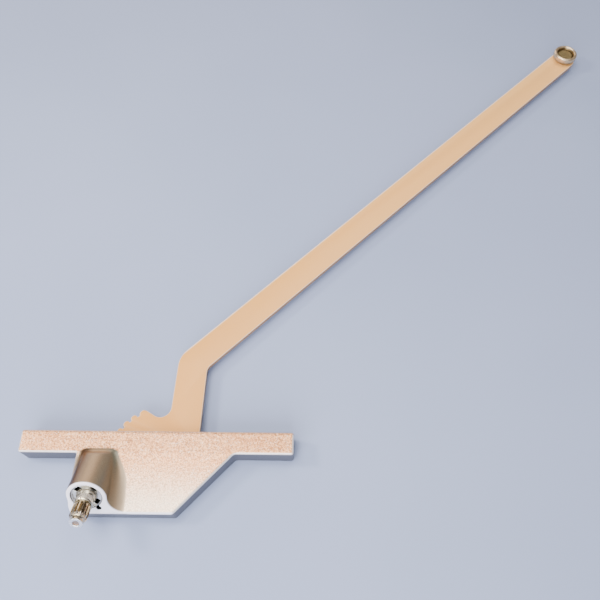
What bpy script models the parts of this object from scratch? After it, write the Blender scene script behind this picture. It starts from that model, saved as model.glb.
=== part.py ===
"""Window crank operator: a worm on the crank shaft swings a flat arm through a toothed sector.

Metres, +Z up. The origin is on the arm's pivot axis, at the underside of the housing. +X runs along the
mounting strip, +Y points at the sash, and the crank shaft leans up and out over -Y.
"""

import math

import bmesh
import bpy
from mathutils import Matrix, Vector

MM = 0.001
GAP = 0.3 * MM  # clearance that every two neighbouring pieces keep

# Housing: a strip along the sash side and a trapezoid body in front of it
STRIP_LENGTH = 139.7 * MM
STRIP_DEPTH = 11.5 * MM
STRIP_HEIGHT = 13.64 * MM
BODY_DEPTH = 29.2 * MM
BODY_FRONT_HEIGHT = 12.4 * MM
BODY_LEFT = -38.25 * MM
BODY_RIGHT_BACK = 39.55 * MM
BODY_RIGHT_FRONT = 11.45 * MM
EDGE_ROUND = 1.1 * MM
WALL = 2.0 * MM
LEDGE = 0.6 * MM  # ledge that the base plate seats against
CEILING = 11.3 * MM  # height of the cavity's roof
STRIP_CAVITY_END = 50 * MM
SLOT_LEFT = -25.2 * MM
SLOT_RIGHT = 42.8 * MM
SLOT_TOP = 9.0 * MM

# Crank shaft axis: it crosses the arm's middle plane beside the pivot
SHAFT_TILT = math.radians(32)
SHAFT_X = -28.6 * MM
ARM_LOW = 5.2 * MM
ARM_THICK = 3.2 * MM
ARM_HIGH = ARM_LOW + ARM_THICK
ARM_MIDDLE = (ARM_LOW + ARM_HIGH) / 2

# Boss round the shaft, in distances along the shaft axis from the arm's middle plane
BOSS_RADIUS = 9.7 * MM
BOSS_END = 27.47 * MM
BOSS_STOCK_END = BOSS_END + 1.5 * MM  # before the front face is cut
BORE_RADIUS = 7.6 * MM
BORE_FLOOR = 12.0 * MM
BOSS_FILLET = 8.0 * MM
BOSS_BACK_Y = 0.8 * MM
BOSS_BACK_SLOPE = math.radians(72)
LOCK_HOLE_PLACE = (4.9 * MM, -6.5 * MM)
LOCK_HOLE_RADIUS = 1.25 * MM
LOCK_HOLE_DEPTH = 3.0 * MM

# Gear sector and worm
TEETH_PER_TURN = 32
SECTOR_PITCH_RADIUS = 25.2 * MM
SECTOR_TIP_RADIUS = 26.0 * MM
SECTOR_ROOT_RADIUS = 24.1 * MM
VALLEYS = 11
FIRST_VALLEY = math.radians(122.1)
VALLEY_FLOOR = 1.3 * MM
WORM_ROOT_RADIUS = 2.3 * MM
WORM_CREST_RADIUS = 4.2 * MM
WORM_START = -4.6 * MM
WORM_END = 5.7 * MM
THREAD_CREST = 0.5 * MM
THREAD_BASE = 1.7 * MM
SWEEP_RADIUS = 26.45 * MM  # cavity that the sector turns in
THREAD_CLEARANCE = 0.55 * MM
TUNNEL_LOW = -5.2 * MM
WINDOW_HALF = WORM_CREST_RADIUS + THREAD_CLEARANCE  # half the width of the opening below the worm
WINDOW_BACK_Y = 4.3 * MM
WINDOW_FRONT_Y = -2.5 * MM

# Rear journal of the shaft, in its blind bore
TAIL_RADIUS = 1.6 * MM
TAIL_LOW = -8.2 * MM
TAIL_BORE_RADIUS = 2.9 * MM
TAIL_BORE_LOW = -8.9 * MM

# Front bearing of the shaft, in the boss
JOURNAL_RADIUS = 3.6 * MM
THRUST_RADIUS = 5.6 * MM
THRUST_LOW = 13.8 * MM
THRUST_HIGH = 15.2 * MM
WASHER_THICK = 1.2 * MM
PLUG_RADIUS = 7.25 * MM
PLUG_HUB_RADIUS = 5.2 * MM
PLUG_LOW = 17.0 * MM
PLUG_FACE = 25.0 * MM
PLUG_HUB_END = 26.5 * MM
PLUG_NOTCHES = 4
NOTCH_WIDTH = 3.4 * MM
NOTCH_DEPTH = 2.5 * MM

# Arm outline
ARM_WIDTH = 15.94 * MM
ELBOW = Vector((13.45, 51.7)) * MM
ROLLER_CENTRE = Vector((266.35, 297.9)) * MM
HUB_HOLE_RADIUS = 5.3 * MM

# Pivot stack, heights above the underside
PLATE_THICK = 1.6 * MM
FOOT_RADIUS = 3.0 * MM
FLANGE_RADIUS = 6.5 * MM
FLANGE_HIGH = 3.1 * MM
STUD_RADIUS = 4.0 * MM
STUD_SHOULDER = 10.2 * MM
TENON_RADIUS = 2.5 * MM
TENON_HIGH = 12.3 * MM
WASHER_RADIUS = 8.3 * MM

# Base screws
SCREW_PLACES = ((-44.0, 5.75), (46.0, 5.75), (-33.2, -23.8), (29.25, -3.7))
SCREW_HEAD_RADIUS = 2.5 * MM
SCREW_SHANK_RADIUS = 1.3 * MM
SCREW_LENGTH = 7.5 * MM
POST_RADIUS = 2.5 * MM
PIVOT_PAD_RADIUS = 7.0 * MM

# Mounting holes in the strip's sash side
MOUNT_HOLE_X = 60 * MM
MOUNT_HOLE_RADIUS = 2.0 * MM
MOUNT_HOLE_DEPTH = 8.0 * MM

# Roller on its stud, heights above the underside
RIVET_SHANK_RADIUS = 2.5 * MM
RIVET_HEAD_RADIUS = 3.7 * MM
RIVET_HEAD_LOW = 3.9 * MM
STUD_HEAD_RADIUS = 5.15 * MM
STUD_HEAD_LOW = 11.2 * MM
STUD_HEAD_HIGH = 12.6 * MM
ROLLER_WASHER_HIGH = 9.5 * MM

# Splined end of the shaft, for the crank handle
COLLAR_RADIUS = 4.6 * MM
COLLAR_LOW = 30.4 * MM
COLLAR_HIGH = 32.4 * MM
SPLINE_START = 32.9 * MM
SPLINE_TEETH = 14
SPLINE_CREST = 4.25 * MM
SPLINE_ROOT = 3.55 * MM
SHAFT_SIDES = 2 * SPLINE_TEETH
ROUND_SIDES = 32

PARTS_NAME = "window_crank_operator"


def clear_scene():
    for obj in list(bpy.data.objects):
        bpy.data.objects.remove(obj, do_unlink=True)


def new_collection(name):
    collection = bpy.data.collections.new(name)
    bpy.context.scene.collection.children.link(collection)
    return collection


def new_material(name, colour, metallic, roughness):
    material = bpy.data.materials.new(name)
    material.use_nodes = True
    shader = material.node_tree.nodes["Principled BSDF"]
    shader.inputs["Base Color"].default_value = (*colour, 1)
    shader.inputs["Metallic"].default_value = metallic
    shader.inputs["Roughness"].default_value = roughness
    material.diffuse_color = (*colour, 1)
    return material


def new_empty(name, location, tilt=0.0, parent=None):
    empty = bpy.data.objects.new(name, None)
    empty.location = location
    empty.rotation_euler = (tilt, 0, 0)
    empty.parent = parent
    empty.empty_display_size = 0.01
    parts.objects.link(empty)
    return empty


def add_part(name, mesh, material, parent=None):
    obj = bpy.data.objects.new(name, mesh)
    obj.data.materials.clear()
    obj.data.materials.append(material)
    obj.parent = parent
    parts.objects.link(obj)
    mesh.shade_smooth()
    mesh.set_sharp_from_angle(angle=math.radians(30))
    return obj


def add_helper(name, mesh, parent=None):
    obj = bpy.data.objects.new(name, mesh)
    obj.parent = parent
    obj.hide_render = True
    obj.display_type = "WIRE"
    helpers.objects.link(obj)
    return obj


def boolean(target, other, operation):
    modifier = target.modifiers.new(f"{operation.lower()}_{other.name}", "BOOLEAN")
    modifier.operation = operation
    modifier.solver = "EXACT"
    modifier.object = other


def cut(target, *others):
    for other in others:
        boolean(target, other, "DIFFERENCE")


def join(target, *others):
    for other in others:
        boolean(target, other, "UNION")


def mesh_from(build, name):
    """A mesh holding what build(bm) makes."""
    bm = bmesh.new()
    build(bm)
    bmesh.ops.recalc_face_normals(bm, faces=bm.faces)
    mesh = bpy.data.meshes.new(name)
    bm.to_mesh(mesh)
    bm.free()
    return mesh


def box_mesh(name, low, high):
    low = Vector(low)
    high = Vector(high)
    place = Matrix.Translation((low + high) / 2) @ Matrix.Diagonal((*(high - low), 1))
    return mesh_from(lambda bm: bmesh.ops.create_cube(bm, size=1, matrix=place), name)


def cylinder_mesh(name, radius, low, high, centre=(0, 0), sides=ROUND_SIDES, top_radius=None):
    place = Matrix.Translation((centre[0], centre[1], (low + high) / 2))
    far = radius if top_radius is None else top_radius
    return mesh_from(
        lambda bm: bmesh.ops.create_cone(
            bm, cap_ends=True, segments=sides, radius1=radius, radius2=far, depth=high - low, matrix=place
        ),
        name,
    )


def loft_mesh(name, rings):
    """A closed skin over rings of points, all with the same number of points, with a face at each end."""

    def build(bm):
        rows = [[bm.verts.new(point) for point in ring] for ring in rings]
        count = len(rows[0])
        for lower, upper in zip(rows, rows[1:]):
            for i in range(count):
                after = (i + 1) % count
                bm.faces.new((lower[i], lower[after], upper[after], upper[i]))
        bm.faces.new(rows[0][::-1])
        bm.faces.new(rows[-1])

    return mesh_from(build, name)


def outline_mesh(name, outlines, low, high):
    """A flat plate from closed outlines: the first is its edge, the others are holes in it."""
    curve = bpy.data.curves.new(name, "CURVE")
    curve.dimensions = "2D"
    curve.fill_mode = "BOTH"
    curve.extrude = (high - low) / 2
    for outline in outlines:
        spline = curve.splines.new("POLY")
        spline.points.add(len(outline) - 1)
        for point, place in zip(spline.points, outline):
            point.co = (place[0], place[1], 0, 1)
        spline.use_cyclic_u = True
    guide = bpy.data.objects.new(f"{name}_guide", curve)
    helpers.objects.link(guide)
    graph = bpy.context.evaluated_depsgraph_get()
    mesh = bpy.data.meshes.new_from_object(guide.evaluated_get(graph))
    bpy.data.objects.remove(guide, do_unlink=True)
    bm = bmesh.new()
    bm.from_mesh(mesh)
    bmesh.ops.remove_doubles(bm, verts=bm.verts, dist=0.001 * MM)
    bmesh.ops.dissolve_limit(bm, angle_limit=math.radians(0.1), verts=bm.verts, edges=bm.edges)
    bmesh.ops.translate(bm, verts=bm.verts, vec=(0, 0, (low + high) / 2))
    bmesh.ops.recalc_face_normals(bm, faces=bm.faces)
    bm.to_mesh(mesh)
    bm.free()
    return mesh


def turned(obj, sides=ROUND_SIDES):
    """Turns the object's profile round its Z axis."""
    screw = obj.modifiers.new("turn", "SCREW")
    screw.axis = "Z"
    screw.angle = math.tau
    screw.steps = sides
    screw.render_steps = sides
    screw.use_merge_vertices = True
    screw.merge_threshold = 0.001 * MM
    return obj


def profile_mesh(name, profile, closed):
    """Radius and height pairs, down the outer side. A closed profile makes a ring."""
    count = len(profile)
    points = [(radius, 0, height) for radius, height in profile]
    edges = [(i, (i + 1) % count) for i in range(count if closed else count - 1)]
    mesh = bpy.data.meshes.new(name)
    mesh.from_pydata(points, edges, [])
    return mesh


def ring_profile(inner, outer, low, high):
    return [(inner, high), (outer, high), (outer, low), (inner, low)]


def add_ring(name, inner, outer, low, high, material, parent=None, sides=ROUND_SIDES):
    mesh = profile_mesh(name, ring_profile(inner, outer, low, high), True)
    return turned(add_part(name, mesh, material, parent), sides)


def polar(radius, angle):
    return Vector((radius * math.cos(angle), radius * math.sin(angle)))


def arc(centre, radius, start, end, count):
    """Points on an arc, both ends included."""
    steps = [start + (end - start) * i / (count - 1) for i in range(count)]
    return [Vector(centre) + polar(radius, angle) for angle in steps]


def circle(centre, radius, count):
    return [Vector(centre) + polar(radius, math.tau * i / count) for i in range(count)]


def rounded_corner(before, corner, after, radius, count):
    """The arc that rounds a corner between two straight edges."""
    to_before = (before - corner).normalized()
    to_after = (after - corner).normalized()
    half = to_before.angle(to_after) / 2
    centre = corner + (to_before + to_after).normalized() * (radius / math.sin(half))
    first = corner + to_before * (radius / math.tan(half)) - centre
    last = corner + to_after * (radius / math.tan(half)) - centre
    turn = math.atan2(first.x * last.y - first.y * last.x, first.dot(last))
    start = math.atan2(first.y, first.x)
    return arc(centre, radius, start, start + turn, count)


# Housing


def strip_mesh():
    half = STRIP_LENGTH / 2
    return box_mesh("strip", (-half, 0, 0), (half, STRIP_DEPTH, STRIP_HEIGHT))


def body_mesh():
    """The trapezoid body. Its roof falls towards the front, and its hidden end dips into the strip."""
    overlap = STRIP_DEPTH / 2
    sunk = STRIP_HEIGHT - 0.02 * MM
    upper = (
        (BODY_LEFT, -BODY_DEPTH, BODY_FRONT_HEIGHT),
        (BODY_RIGHT_FRONT, -BODY_DEPTH, BODY_FRONT_HEIGHT),
        (BODY_RIGHT_BACK, 0, STRIP_HEIGHT),
        (BODY_RIGHT_BACK, overlap, sunk),
        (BODY_LEFT, overlap, sunk),
        (BODY_LEFT, 0, STRIP_HEIGHT),
    )
    lower = [(x, y, 0) for x, y, top in upper]
    return loft_mesh("body", (lower, upper))


def roof_level(along):
    """Height of the body's roof over the shaft axis, square to the axis, at this distance along it."""
    slope = (STRIP_HEIGHT - BODY_FRONT_HEIGHT) / BODY_DEPTH
    sine = math.sin(SHAFT_TILT)
    cosine = math.cos(SHAFT_TILT)
    rise = STRIP_HEIGHT - ARM_MIDDLE - along * (sine + slope * cosine)
    return rise / (cosine - slope * sine)


def boss_fillet_radius(along):
    """The blend between boss and roof is full at the front and runs out towards the strip."""
    start = 3 * MM
    full = 14 * MM
    smallest = 1.0 * MM
    part = min(max((along - start) / (full - start), 0), 1)
    return smallest + (BOSS_FILLET - smallest) * part * part * (3 - 2 * part)


def fillet_arc(along, count=7):
    """The blend's arc across the shaft axis, from the roof up to the boss."""
    level = roof_level(along)
    radius = boss_fillet_radius(along)
    reach = BOSS_RADIUS + radius
    centre = Vector((math.sqrt(reach**2 - (level + radius) ** 2), level + radius))
    touch = centre * (BOSS_RADIUS / reach)
    end = math.atan2(touch.y - centre.y, touch.x - centre.x) % math.tau
    return arc(centre, radius, 1.5 * math.pi, end, count)


def boss_skirt_mesh():
    """The blend as a closed body: its arcs, each closed through the boss and below the roof."""
    sink = 2 * MM
    inner = 2 * MM
    first = 4 * MM
    steps = 8
    rings = []
    for step in range(steps + 1):
        along = first + (BOSS_STOCK_END - first) * step / steps
        points = fillet_arc(along)
        low = roof_level(along) - sink
        points += [Vector((inner, points[-1].y)), Vector((inner, low)), Vector((points[0].x, low))]
        rings.append([(point.x, point.y, along) for point in points])
    return loft_mesh("boss_skirt", rings)


def boss_block_mesh():
    """What carries the boss at the front: flat left side, slanted front face, flared right side."""
    level = roof_level(BOSS_END) - 0.5 * MM
    left = BODY_LEFT - SHAFT_X + 0.02 * MM
    outline = [Vector((left, 0)), Vector((left, level))]
    outline.append(Vector((fillet_arc(BOSS_END)[0].x - 0.1 * MM, level)))
    outline += fillet_arc(BOSS_END)[1:-1]
    outline.append(Vector((0, 0)))
    return outline_mesh("boss_block", [outline], 8 * MM, BOSS_STOCK_END + 0.1 * MM)


def boss_helper(shaft):
    """The round boss, closed by a steep wall towards the strip and cut off above the underside."""
    stock = cylinder_mesh("boss", BOSS_RADIUS, -4 * MM, BOSS_STOCK_END - 0.1 * MM, sides=48)
    boss = add_helper("boss", stock, shaft)
    far = 60 * MM
    back = add_helper("boss_back", box_mesh("boss_back", (-far, 0, 0), (far, far, far)))
    back.location = (0, BOSS_BACK_Y, STRIP_HEIGHT)
    back.rotation_euler = (-BOSS_BACK_SLOPE, 0, 0)
    below = add_helper("boss_below", box_mesh("boss_below", (-far, -far, -far), (far, far, 4 * MM)))
    cut(boss, back, below)
    return boss


def cavity_outline():
    """Inside of the walls, where the arm turns."""
    lean = (BODY_RIGHT_BACK - BODY_RIGHT_FRONT) / BODY_DEPTH
    offset = WALL * math.hypot(1, lean)
    back = STRIP_DEPTH - WALL
    front = -BODY_DEPTH + WALL
    return {
        "back": back,
        "front": front,
        "strip": WALL,
        "strip_left": WALL + 0.4 * MM,
        "right_back": BODY_RIGHT_BACK + WALL * lean - offset,
        "right_front": BODY_RIGHT_BACK + front * lean - offset,
        "left": BODY_LEFT + WALL,
    }


def main_cavity_mesh():
    inside = cavity_outline()
    left = -22 * MM
    outline = [
        (left, inside["back"] - LEDGE),
        (left, -13 * MM),
        (-13 * MM, inside["front"] + LEDGE),
        (inside["right_front"] - LEDGE, inside["front"] + LEDGE),
        (inside["right_back"] - LEDGE, inside["strip"] + LEDGE),
        (STRIP_CAVITY_END - LEDGE, inside["strip"] + LEDGE),
        (STRIP_CAVITY_END - LEDGE, inside["back"] - LEDGE),
    ]
    return outline_mesh("main_cavity", [outline], -1 * MM, CEILING)


def plate_outline(grow=0.0):
    """Outline of the base plate's seat in the housing, grown by this much."""
    inside = cavity_outline()
    return [
        (-STRIP_CAVITY_END - grow, inside["back"] + grow),
        (-STRIP_CAVITY_END - grow, inside["strip_left"] - grow),
        (inside["left"] - grow, inside["strip_left"] - grow),
        (inside["left"] - grow, inside["front"] - grow),
        (inside["right_front"] + grow, inside["front"] - grow),
        (inside["right_back"] + grow, inside["strip"] - grow),
        (STRIP_CAVITY_END + grow, inside["strip"] - grow),
        (STRIP_CAVITY_END + grow, inside["back"] + grow),
    ]


def housing_cutters(shaft):
    """Cavities and holes, in the order that they are cut."""
    inside = cavity_outline()
    floor = -1 * MM
    seat = plate_outline()
    yield add_helper("plate_seat", outline_mesh("plate_seat", [seat], floor, PLATE_THICK + GAP))
    yield add_helper("main_cavity", main_cavity_mesh())
    left_low = (-STRIP_CAVITY_END + LEDGE, inside["strip_left"] + LEDGE, floor)
    left_high = (-34.5 * MM, inside["back"] - LEDGE, CEILING)
    yield add_helper("left_pocket", box_mesh("left_pocket", left_low, left_high))
    yield add_helper("sector_sweep", cylinder_mesh("sector_sweep", SWEEP_RADIUS, floor, SLOT_TOP, sides=72))
    slot_low = (SLOT_LEFT, STRIP_DEPTH / 2, floor)
    slot_high = (SLOT_RIGHT, STRIP_DEPTH + 1 * MM, SLOT_TOP)
    yield add_helper("arm_slot", box_mesh("arm_slot", slot_low, slot_high))
    tunnel = cylinder_mesh("worm_tunnel", WINDOW_HALF, TUNNEL_LOW, BORE_FLOOR + 1 * MM)
    yield add_helper("worm_tunnel", tunnel, shaft)
    bore = cylinder_mesh("bore", BORE_RADIUS, BORE_FLOOR, BOSS_END + 5 * MM, sides=48)
    yield add_helper("bore", bore, shaft)
    tail = cylinder_mesh("tail_bore", TAIL_BORE_RADIUS, TAIL_BORE_LOW, TUNNEL_LOW + 1.2 * MM)
    yield add_helper("tail_bore", tail, shaft)
    yield from well_cutters(floor)


def well_cutters(floor):
    """Openings below the worm and its rear journal, where they come close to the base plate."""
    well_low = (SHAFT_X - WINDOW_HALF, -8 * MM, floor)
    well_high = (SHAFT_X + WINDOW_HALF, WINDOW_BACK_Y, 5 * MM)
    yield add_helper("worm_well", box_mesh("worm_well", well_low, well_high))
    tail_low = (SHAFT_X - TAIL_BORE_RADIUS, WINDOW_BACK_Y - 0.3 * MM, floor)
    tail_high = (SHAFT_X + TAIL_BORE_RADIUS, 8.8 * MM, 2.5 * MM)
    yield add_helper("tail_well", box_mesh("tail_well", tail_low, tail_high))


def small_housing_cutters(shaft):
    """Drilled holes: pivot socket, screw pilots, mounting holes and the lock hole in the boss's face."""
    socket = cylinder_mesh("pivot_socket", TENON_RADIUS + GAP, ARM_LOW, TENON_HIGH + GAP, sides=24)
    yield add_helper("pivot_socket", socket)
    for index, (x, y) in enumerate(SCREW_PLACES, 1):
        name = f"screw_pilot_{index}"
        pilot = cylinder_mesh(name, SCREW_SHANK_RADIUS + GAP, 0, SCREW_LENGTH + 1 * MM, (x * MM, y * MM), 16)
        yield add_helper(name, pilot)
    for side in (-1, 1):
        name = f"mount_hole_{'left' if side < 0 else 'right'}"
        hole = add_helper(name, cylinder_mesh(name, MOUNT_HOLE_RADIUS, -1 * MM, MOUNT_HOLE_DEPTH, sides=20))
        hole.location = (side * MOUNT_HOLE_X, STRIP_DEPTH, STRIP_HEIGHT / 2)
        hole.rotation_euler = (math.radians(90), 0, 0)
        yield hole
    low = BOSS_END - LOCK_HOLE_DEPTH
    lock = cylinder_mesh("lock_hole", LOCK_HOLE_RADIUS, low, BOSS_END + 2 * MM, LOCK_HOLE_PLACE, 14)
    yield add_helper("lock_hole", lock, shaft)


def screw_posts():
    """Posts for the screws that stand in the cavity. The third screw goes into solid metal under the boss."""
    low = PLATE_THICK + 0.5 * MM
    high = CEILING + 0.5 * MM
    for index, (x, y) in enumerate(SCREW_PLACES, 1):
        if index != 3:
            name = f"screw_post_{index}"
            yield add_helper(name, cylinder_mesh(name, POST_RADIUS, low, high, (x * MM, y * MM), 20))
    pad_low = STUD_SHOULDER + GAP
    yield add_helper("pivot_pad", cylinder_mesh("pivot_pad", PIVOT_PAD_RADIUS, pad_low, high + 0.1 * MM))


def make_housing(shaft, material):
    housing = add_part("housing", strip_mesh(), material)
    join(housing, add_helper("body", body_mesh()))
    bevel = housing.modifiers.new("cast_edges", "BEVEL")
    bevel.width = EDGE_ROUND
    bevel.segments = 2
    bevel.limit_method = "ANGLE"
    bevel.angle_limit = math.radians(35)
    skirt = add_helper("boss_skirt", boss_skirt_mesh(), shaft)
    block = add_helper("boss_block", boss_block_mesh(), shaft)
    join(housing, boss_helper(shaft), block, skirt)
    front_y = -BODY_DEPTH + 0.01 * MM
    front_low = (BODY_LEFT - 5 * MM, -STRIP_LENGTH, -STRIP_LENGTH)
    front = box_mesh("front_trim", front_low, (BODY_RIGHT_FRONT + 5 * MM, front_y, STRIP_LENGTH))
    far = 30 * MM
    face_high = (fillet_arc(BOSS_END)[0].x, far, BOSS_END + far)
    face = box_mesh("boss_face", (-far, -far, BOSS_END), face_high)
    cut(housing, add_helper("front_trim", front), add_helper("boss_face", face, shaft))
    cut(housing, *housing_cutters(shaft))
    join(housing, *screw_posts())
    cut(housing, *small_housing_cutters(shaft))
    return housing


# Base plate and its screws


def worm_window():
    """Hole in the base plate under the worm, with a narrower end under the rear journal."""
    back = 8.5 * MM
    wide = WINDOW_HALF
    narrow = TAIL_BORE_RADIUS
    return [
        (SHAFT_X - wide, WINDOW_FRONT_Y),
        (SHAFT_X + wide, WINDOW_FRONT_Y),
        (SHAFT_X + wide, WINDOW_BACK_Y),
        (SHAFT_X + narrow, WINDOW_BACK_Y),
        (SHAFT_X + narrow, back),
        (SHAFT_X - narrow, back),
        (SHAFT_X - narrow, WINDOW_BACK_Y),
        (SHAFT_X - wide, WINDOW_BACK_Y),
    ]


def make_base_plate(material):
    """The plate that closes the cavity, with a tab that closes the arm slot from below."""
    edge = plate_outline(-GAP)
    back = edge[0][1]
    tab_back = STRIP_DEPTH - GAP
    edge += [
        (SLOT_RIGHT - GAP, back),
        (SLOT_RIGHT - GAP, tab_back),
        (SLOT_LEFT + GAP, tab_back),
        (SLOT_LEFT + GAP, back),
    ]
    foot_hole = circle((0, 0), FOOT_RADIUS + GAP, 24)
    mesh = outline_mesh("base_plate", [edge, worm_window(), foot_hole], 0, PLATE_THICK)
    plate = add_part("base_plate", mesh, material)
    wide = SCREW_HEAD_RADIUS + GAP
    narrow = SCREW_SHANK_RADIUS + GAP
    lead = 0.5 * MM
    for index, (x, y) in enumerate(SCREW_PLACES, 1):
        name = f"countersink_{index}"
        sink = cylinder_mesh(name, wide + lead, -lead, PLATE_THICK, (x * MM, y * MM), 20, narrow)
        hole = cylinder_mesh(f"{name}_hole", narrow, 0, 2 * PLATE_THICK, (x * MM, y * MM), 20)
        cut(plate, add_helper(name, sink), add_helper(f"{name}_hole", hole))
    return plate


def make_base_screws(material):
    """Countersunk screws, with their heads just inside the underside."""
    top = PLATE_THICK - 0.2 * MM
    low = 0.15 * MM
    rim = 0.25 * MM
    point = 1 * MM
    head = SCREW_HEAD_RADIUS - 0.1 * MM
    profile = [
        (0, SCREW_LENGTH),
        (SCREW_SHANK_RADIUS * 0.6, SCREW_LENGTH),
        (SCREW_SHANK_RADIUS, SCREW_LENGTH - point),
        (SCREW_SHANK_RADIUS, top),
        (head, low + rim),
        (head, low),
        (0, low),
    ]
    mesh = profile_mesh("base_screw", profile, False)
    for index, (x, y) in enumerate(SCREW_PLACES, 1):
        screw = turned(add_part(f"base_screw_{index}", mesh, material), 20)
        screw.location = (x * MM, y * MM, 0)


# Pivot: stud, washers and bushing


def make_pivot(steel, bronze):
    """The stud stands on its foot in the base plate, and its tenon fits the housing's roof."""
    flange_low = PLATE_THICK + GAP
    profile = [
        (0, TENON_HIGH),
        (TENON_RADIUS, TENON_HIGH),
        (TENON_RADIUS, STUD_SHOULDER),
        (STUD_RADIUS, STUD_SHOULDER),
        (STUD_RADIUS, FLANGE_HIGH),
        (FLANGE_RADIUS, FLANGE_HIGH),
        (FLANGE_RADIUS, flange_low),
        (FOOT_RADIUS, flange_low),
        (FOOT_RADIUS, 0),
        (0, 0),
    ]
    turned(add_part("pivot_stud", profile_mesh("pivot_stud", profile, False), steel))
    inner = STUD_RADIUS + GAP
    add_ring("lower_washer", inner, WASHER_RADIUS, FLANGE_HIGH + GAP, ARM_LOW - GAP, bronze)
    add_ring("upper_washer", inner, WASHER_RADIUS, ARM_HIGH + GAP, STUD_SHOULDER, bronze)
    add_ring("pivot_bushing", inner, HUB_HOLE_RADIUS - GAP, ARM_LOW, ARM_HIGH, bronze)


# Arm with its gear sector


def tooth_pitch():
    return math.tau / TEETH_PER_TURN


def tooth_outline(valley):
    """A valley's floor, and the rounded tooth between that valley and the next."""
    half_floor = VALLEY_FLOOR / 2 / SECTOR_ROOT_RADIUS
    start = valley + half_floor
    end = valley + tooth_pitch() - half_floor
    points = [polar(SECTOR_ROOT_RADIUS, valley - half_floor)]
    height = SECTOR_TIP_RADIUS - SECTOR_ROOT_RADIUS
    bluntness = 0.7  # below 1 it widens the tip
    steps = 6
    for step in range(steps):
        turn = math.pi * step / steps
        angle = (start + end) / 2 - (end - start) / 2 * math.cos(turn)
        points.append(polar(SECTOR_ROOT_RADIUS + height * math.sin(turn) ** bluntness, angle))
    return points


def arm_outline():
    """The arm's edge, in order: sector, hub, right edge, long bar, left edge, notch."""
    along = (ROLLER_CENTRE - ELBOW).normalized()
    across = Vector((-along.y, along.x)) * (ARM_WIDTH / 2)
    left_low = Vector((4.1, 24.5)) * MM
    left_high = Vector((5.3, 47.1)) * MM
    right_low = Vector((20.3, 3.0)) * MM
    right_high = Vector((21.6, 47.5)) * MM
    outer_elbow = meet(left_low, left_high - left_low, ROLLER_CENTRE + across, along)
    inner_elbow = meet(right_low, right_high - right_low, ROLLER_CENTRE - across, along)
    notch_centre = Vector((-1.2, 26.0)) * MM
    notch_radius = 5.6 * MM
    lobe_centre = Vector((-9.7, 21.1)) * MM
    lobe_radius = 3.0 * MM

    points = arc(lobe_centre, lobe_radius, math.radians(52), math.radians(158), 6)
    for index in range(VALLEYS):
        points += tooth_outline(FIRST_VALLEY + tooth_pitch() * index)
    sector_end = polar(SECTOR_ROOT_RADIUS, FIRST_VALLEY + tooth_pitch() * VALLEYS)
    hub_front = Vector((2.0, -17.5)) * MM
    hub_right = Vector((16.5, -10.5)) * MM
    points.append(sector_end)
    points += rounded_corner(sector_end, hub_front, hub_right, 8 * MM, 4)
    points += rounded_corner(hub_front, hub_right, right_low, 6 * MM, 4)
    points += rounded_corner(hub_right, right_low, inner_elbow, 6 * MM, 4)
    points += rounded_corner(right_low, inner_elbow, ROLLER_CENTRE - across, 6 * MM, 5)
    tip_start = math.atan2(-across.y, -across.x)
    points += arc(ROLLER_CENTRE, ARM_WIDTH / 2, tip_start, tip_start + math.pi, 13)
    points += rounded_corner(ROLLER_CENTRE + across, outer_elbow, left_low, 14 * MM, 7)
    points += arc(notch_centre, notch_radius, math.radians(-6), math.radians(-125), 8)
    return points


def meet(start, direction, other_start, other_direction):
    """Where two lines in the plane cross."""
    between = other_start - start
    cross = direction.x * other_direction.y - direction.y * other_direction.x
    scale = (between.x * other_direction.y - between.y * other_direction.x) / cross
    return start + direction * scale


def thread_wave():
    """Radians of worm phase per metre along the shaft, so that the thread meets the teeth's spacing."""
    spacing = SECTOR_PITCH_RADIUS * tooth_pitch()
    radius = worm_pitch_radius()
    return (math.tau / spacing - math.sin(SHAFT_TILT) / radius) / math.cos(SHAFT_TILT)


def worm_pitch_radius():
    return -SHAFT_X - SECTOR_PITCH_RADIUS


def tooth_lean():
    """How far a tooth leans along its row for each metre of height, to lie along the worm's thread."""
    wave = thread_wave()
    radius = worm_pitch_radius()
    sine = math.sin(SHAFT_TILT)
    cosine = math.cos(SHAFT_TILT)
    return (wave * sine - cosine / radius) / (wave * cosine + sine / radius)


def lean_teeth(mesh):
    """Turns the upper ends of the teeth one way and the lower ends the other."""
    first = FIRST_VALLEY - math.radians(9)
    last = FIRST_VALLEY + tooth_pitch() * VALLEYS + math.radians(2)
    lowest = SECTOR_ROOT_RADIUS - 0.2 * MM
    highest = SECTOR_TIP_RADIUS + 1 * MM
    for vertex in mesh.vertices:
        place = vertex.co
        angle = math.atan2(place.y, place.x) % math.tau
        if not first < angle < last or not lowest < place.xy.length < highest:
            continue
        turn = -tooth_lean() * (place.z - ARM_MIDDLE) / SECTOR_PITCH_RADIUS
        vertex.co = Matrix.Rotation(turn, 4, "Z") @ place


def make_arm(material):
    hub_hole = circle((0, 0), HUB_HOLE_RADIUS, ROUND_SIDES)
    stud_hole = circle(ROLLER_CENTRE, RIVET_SHANK_RADIUS + GAP, 20)
    mesh = outline_mesh("operator_arm", [arm_outline(), hub_hole, stud_hole], ARM_LOW, ARM_HIGH)
    lean_teeth(mesh)
    return add_part("operator_arm", mesh, material)


# Crank shaft with its worm


def thread_phase():
    """Phase that puts the thread in the tooth valley beside the pivot."""
    nearest = round((math.pi - FIRST_VALLEY) / tooth_pitch())
    offset = SECTOR_PITCH_RADIUS * math.sin(FIRST_VALLEY + nearest * tooth_pitch())
    along = -math.cos(SHAFT_TILT) * offset
    around = math.sin(SHAFT_TILT) * offset / worm_pitch_radius()
    return thread_wave() * along - around


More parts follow.
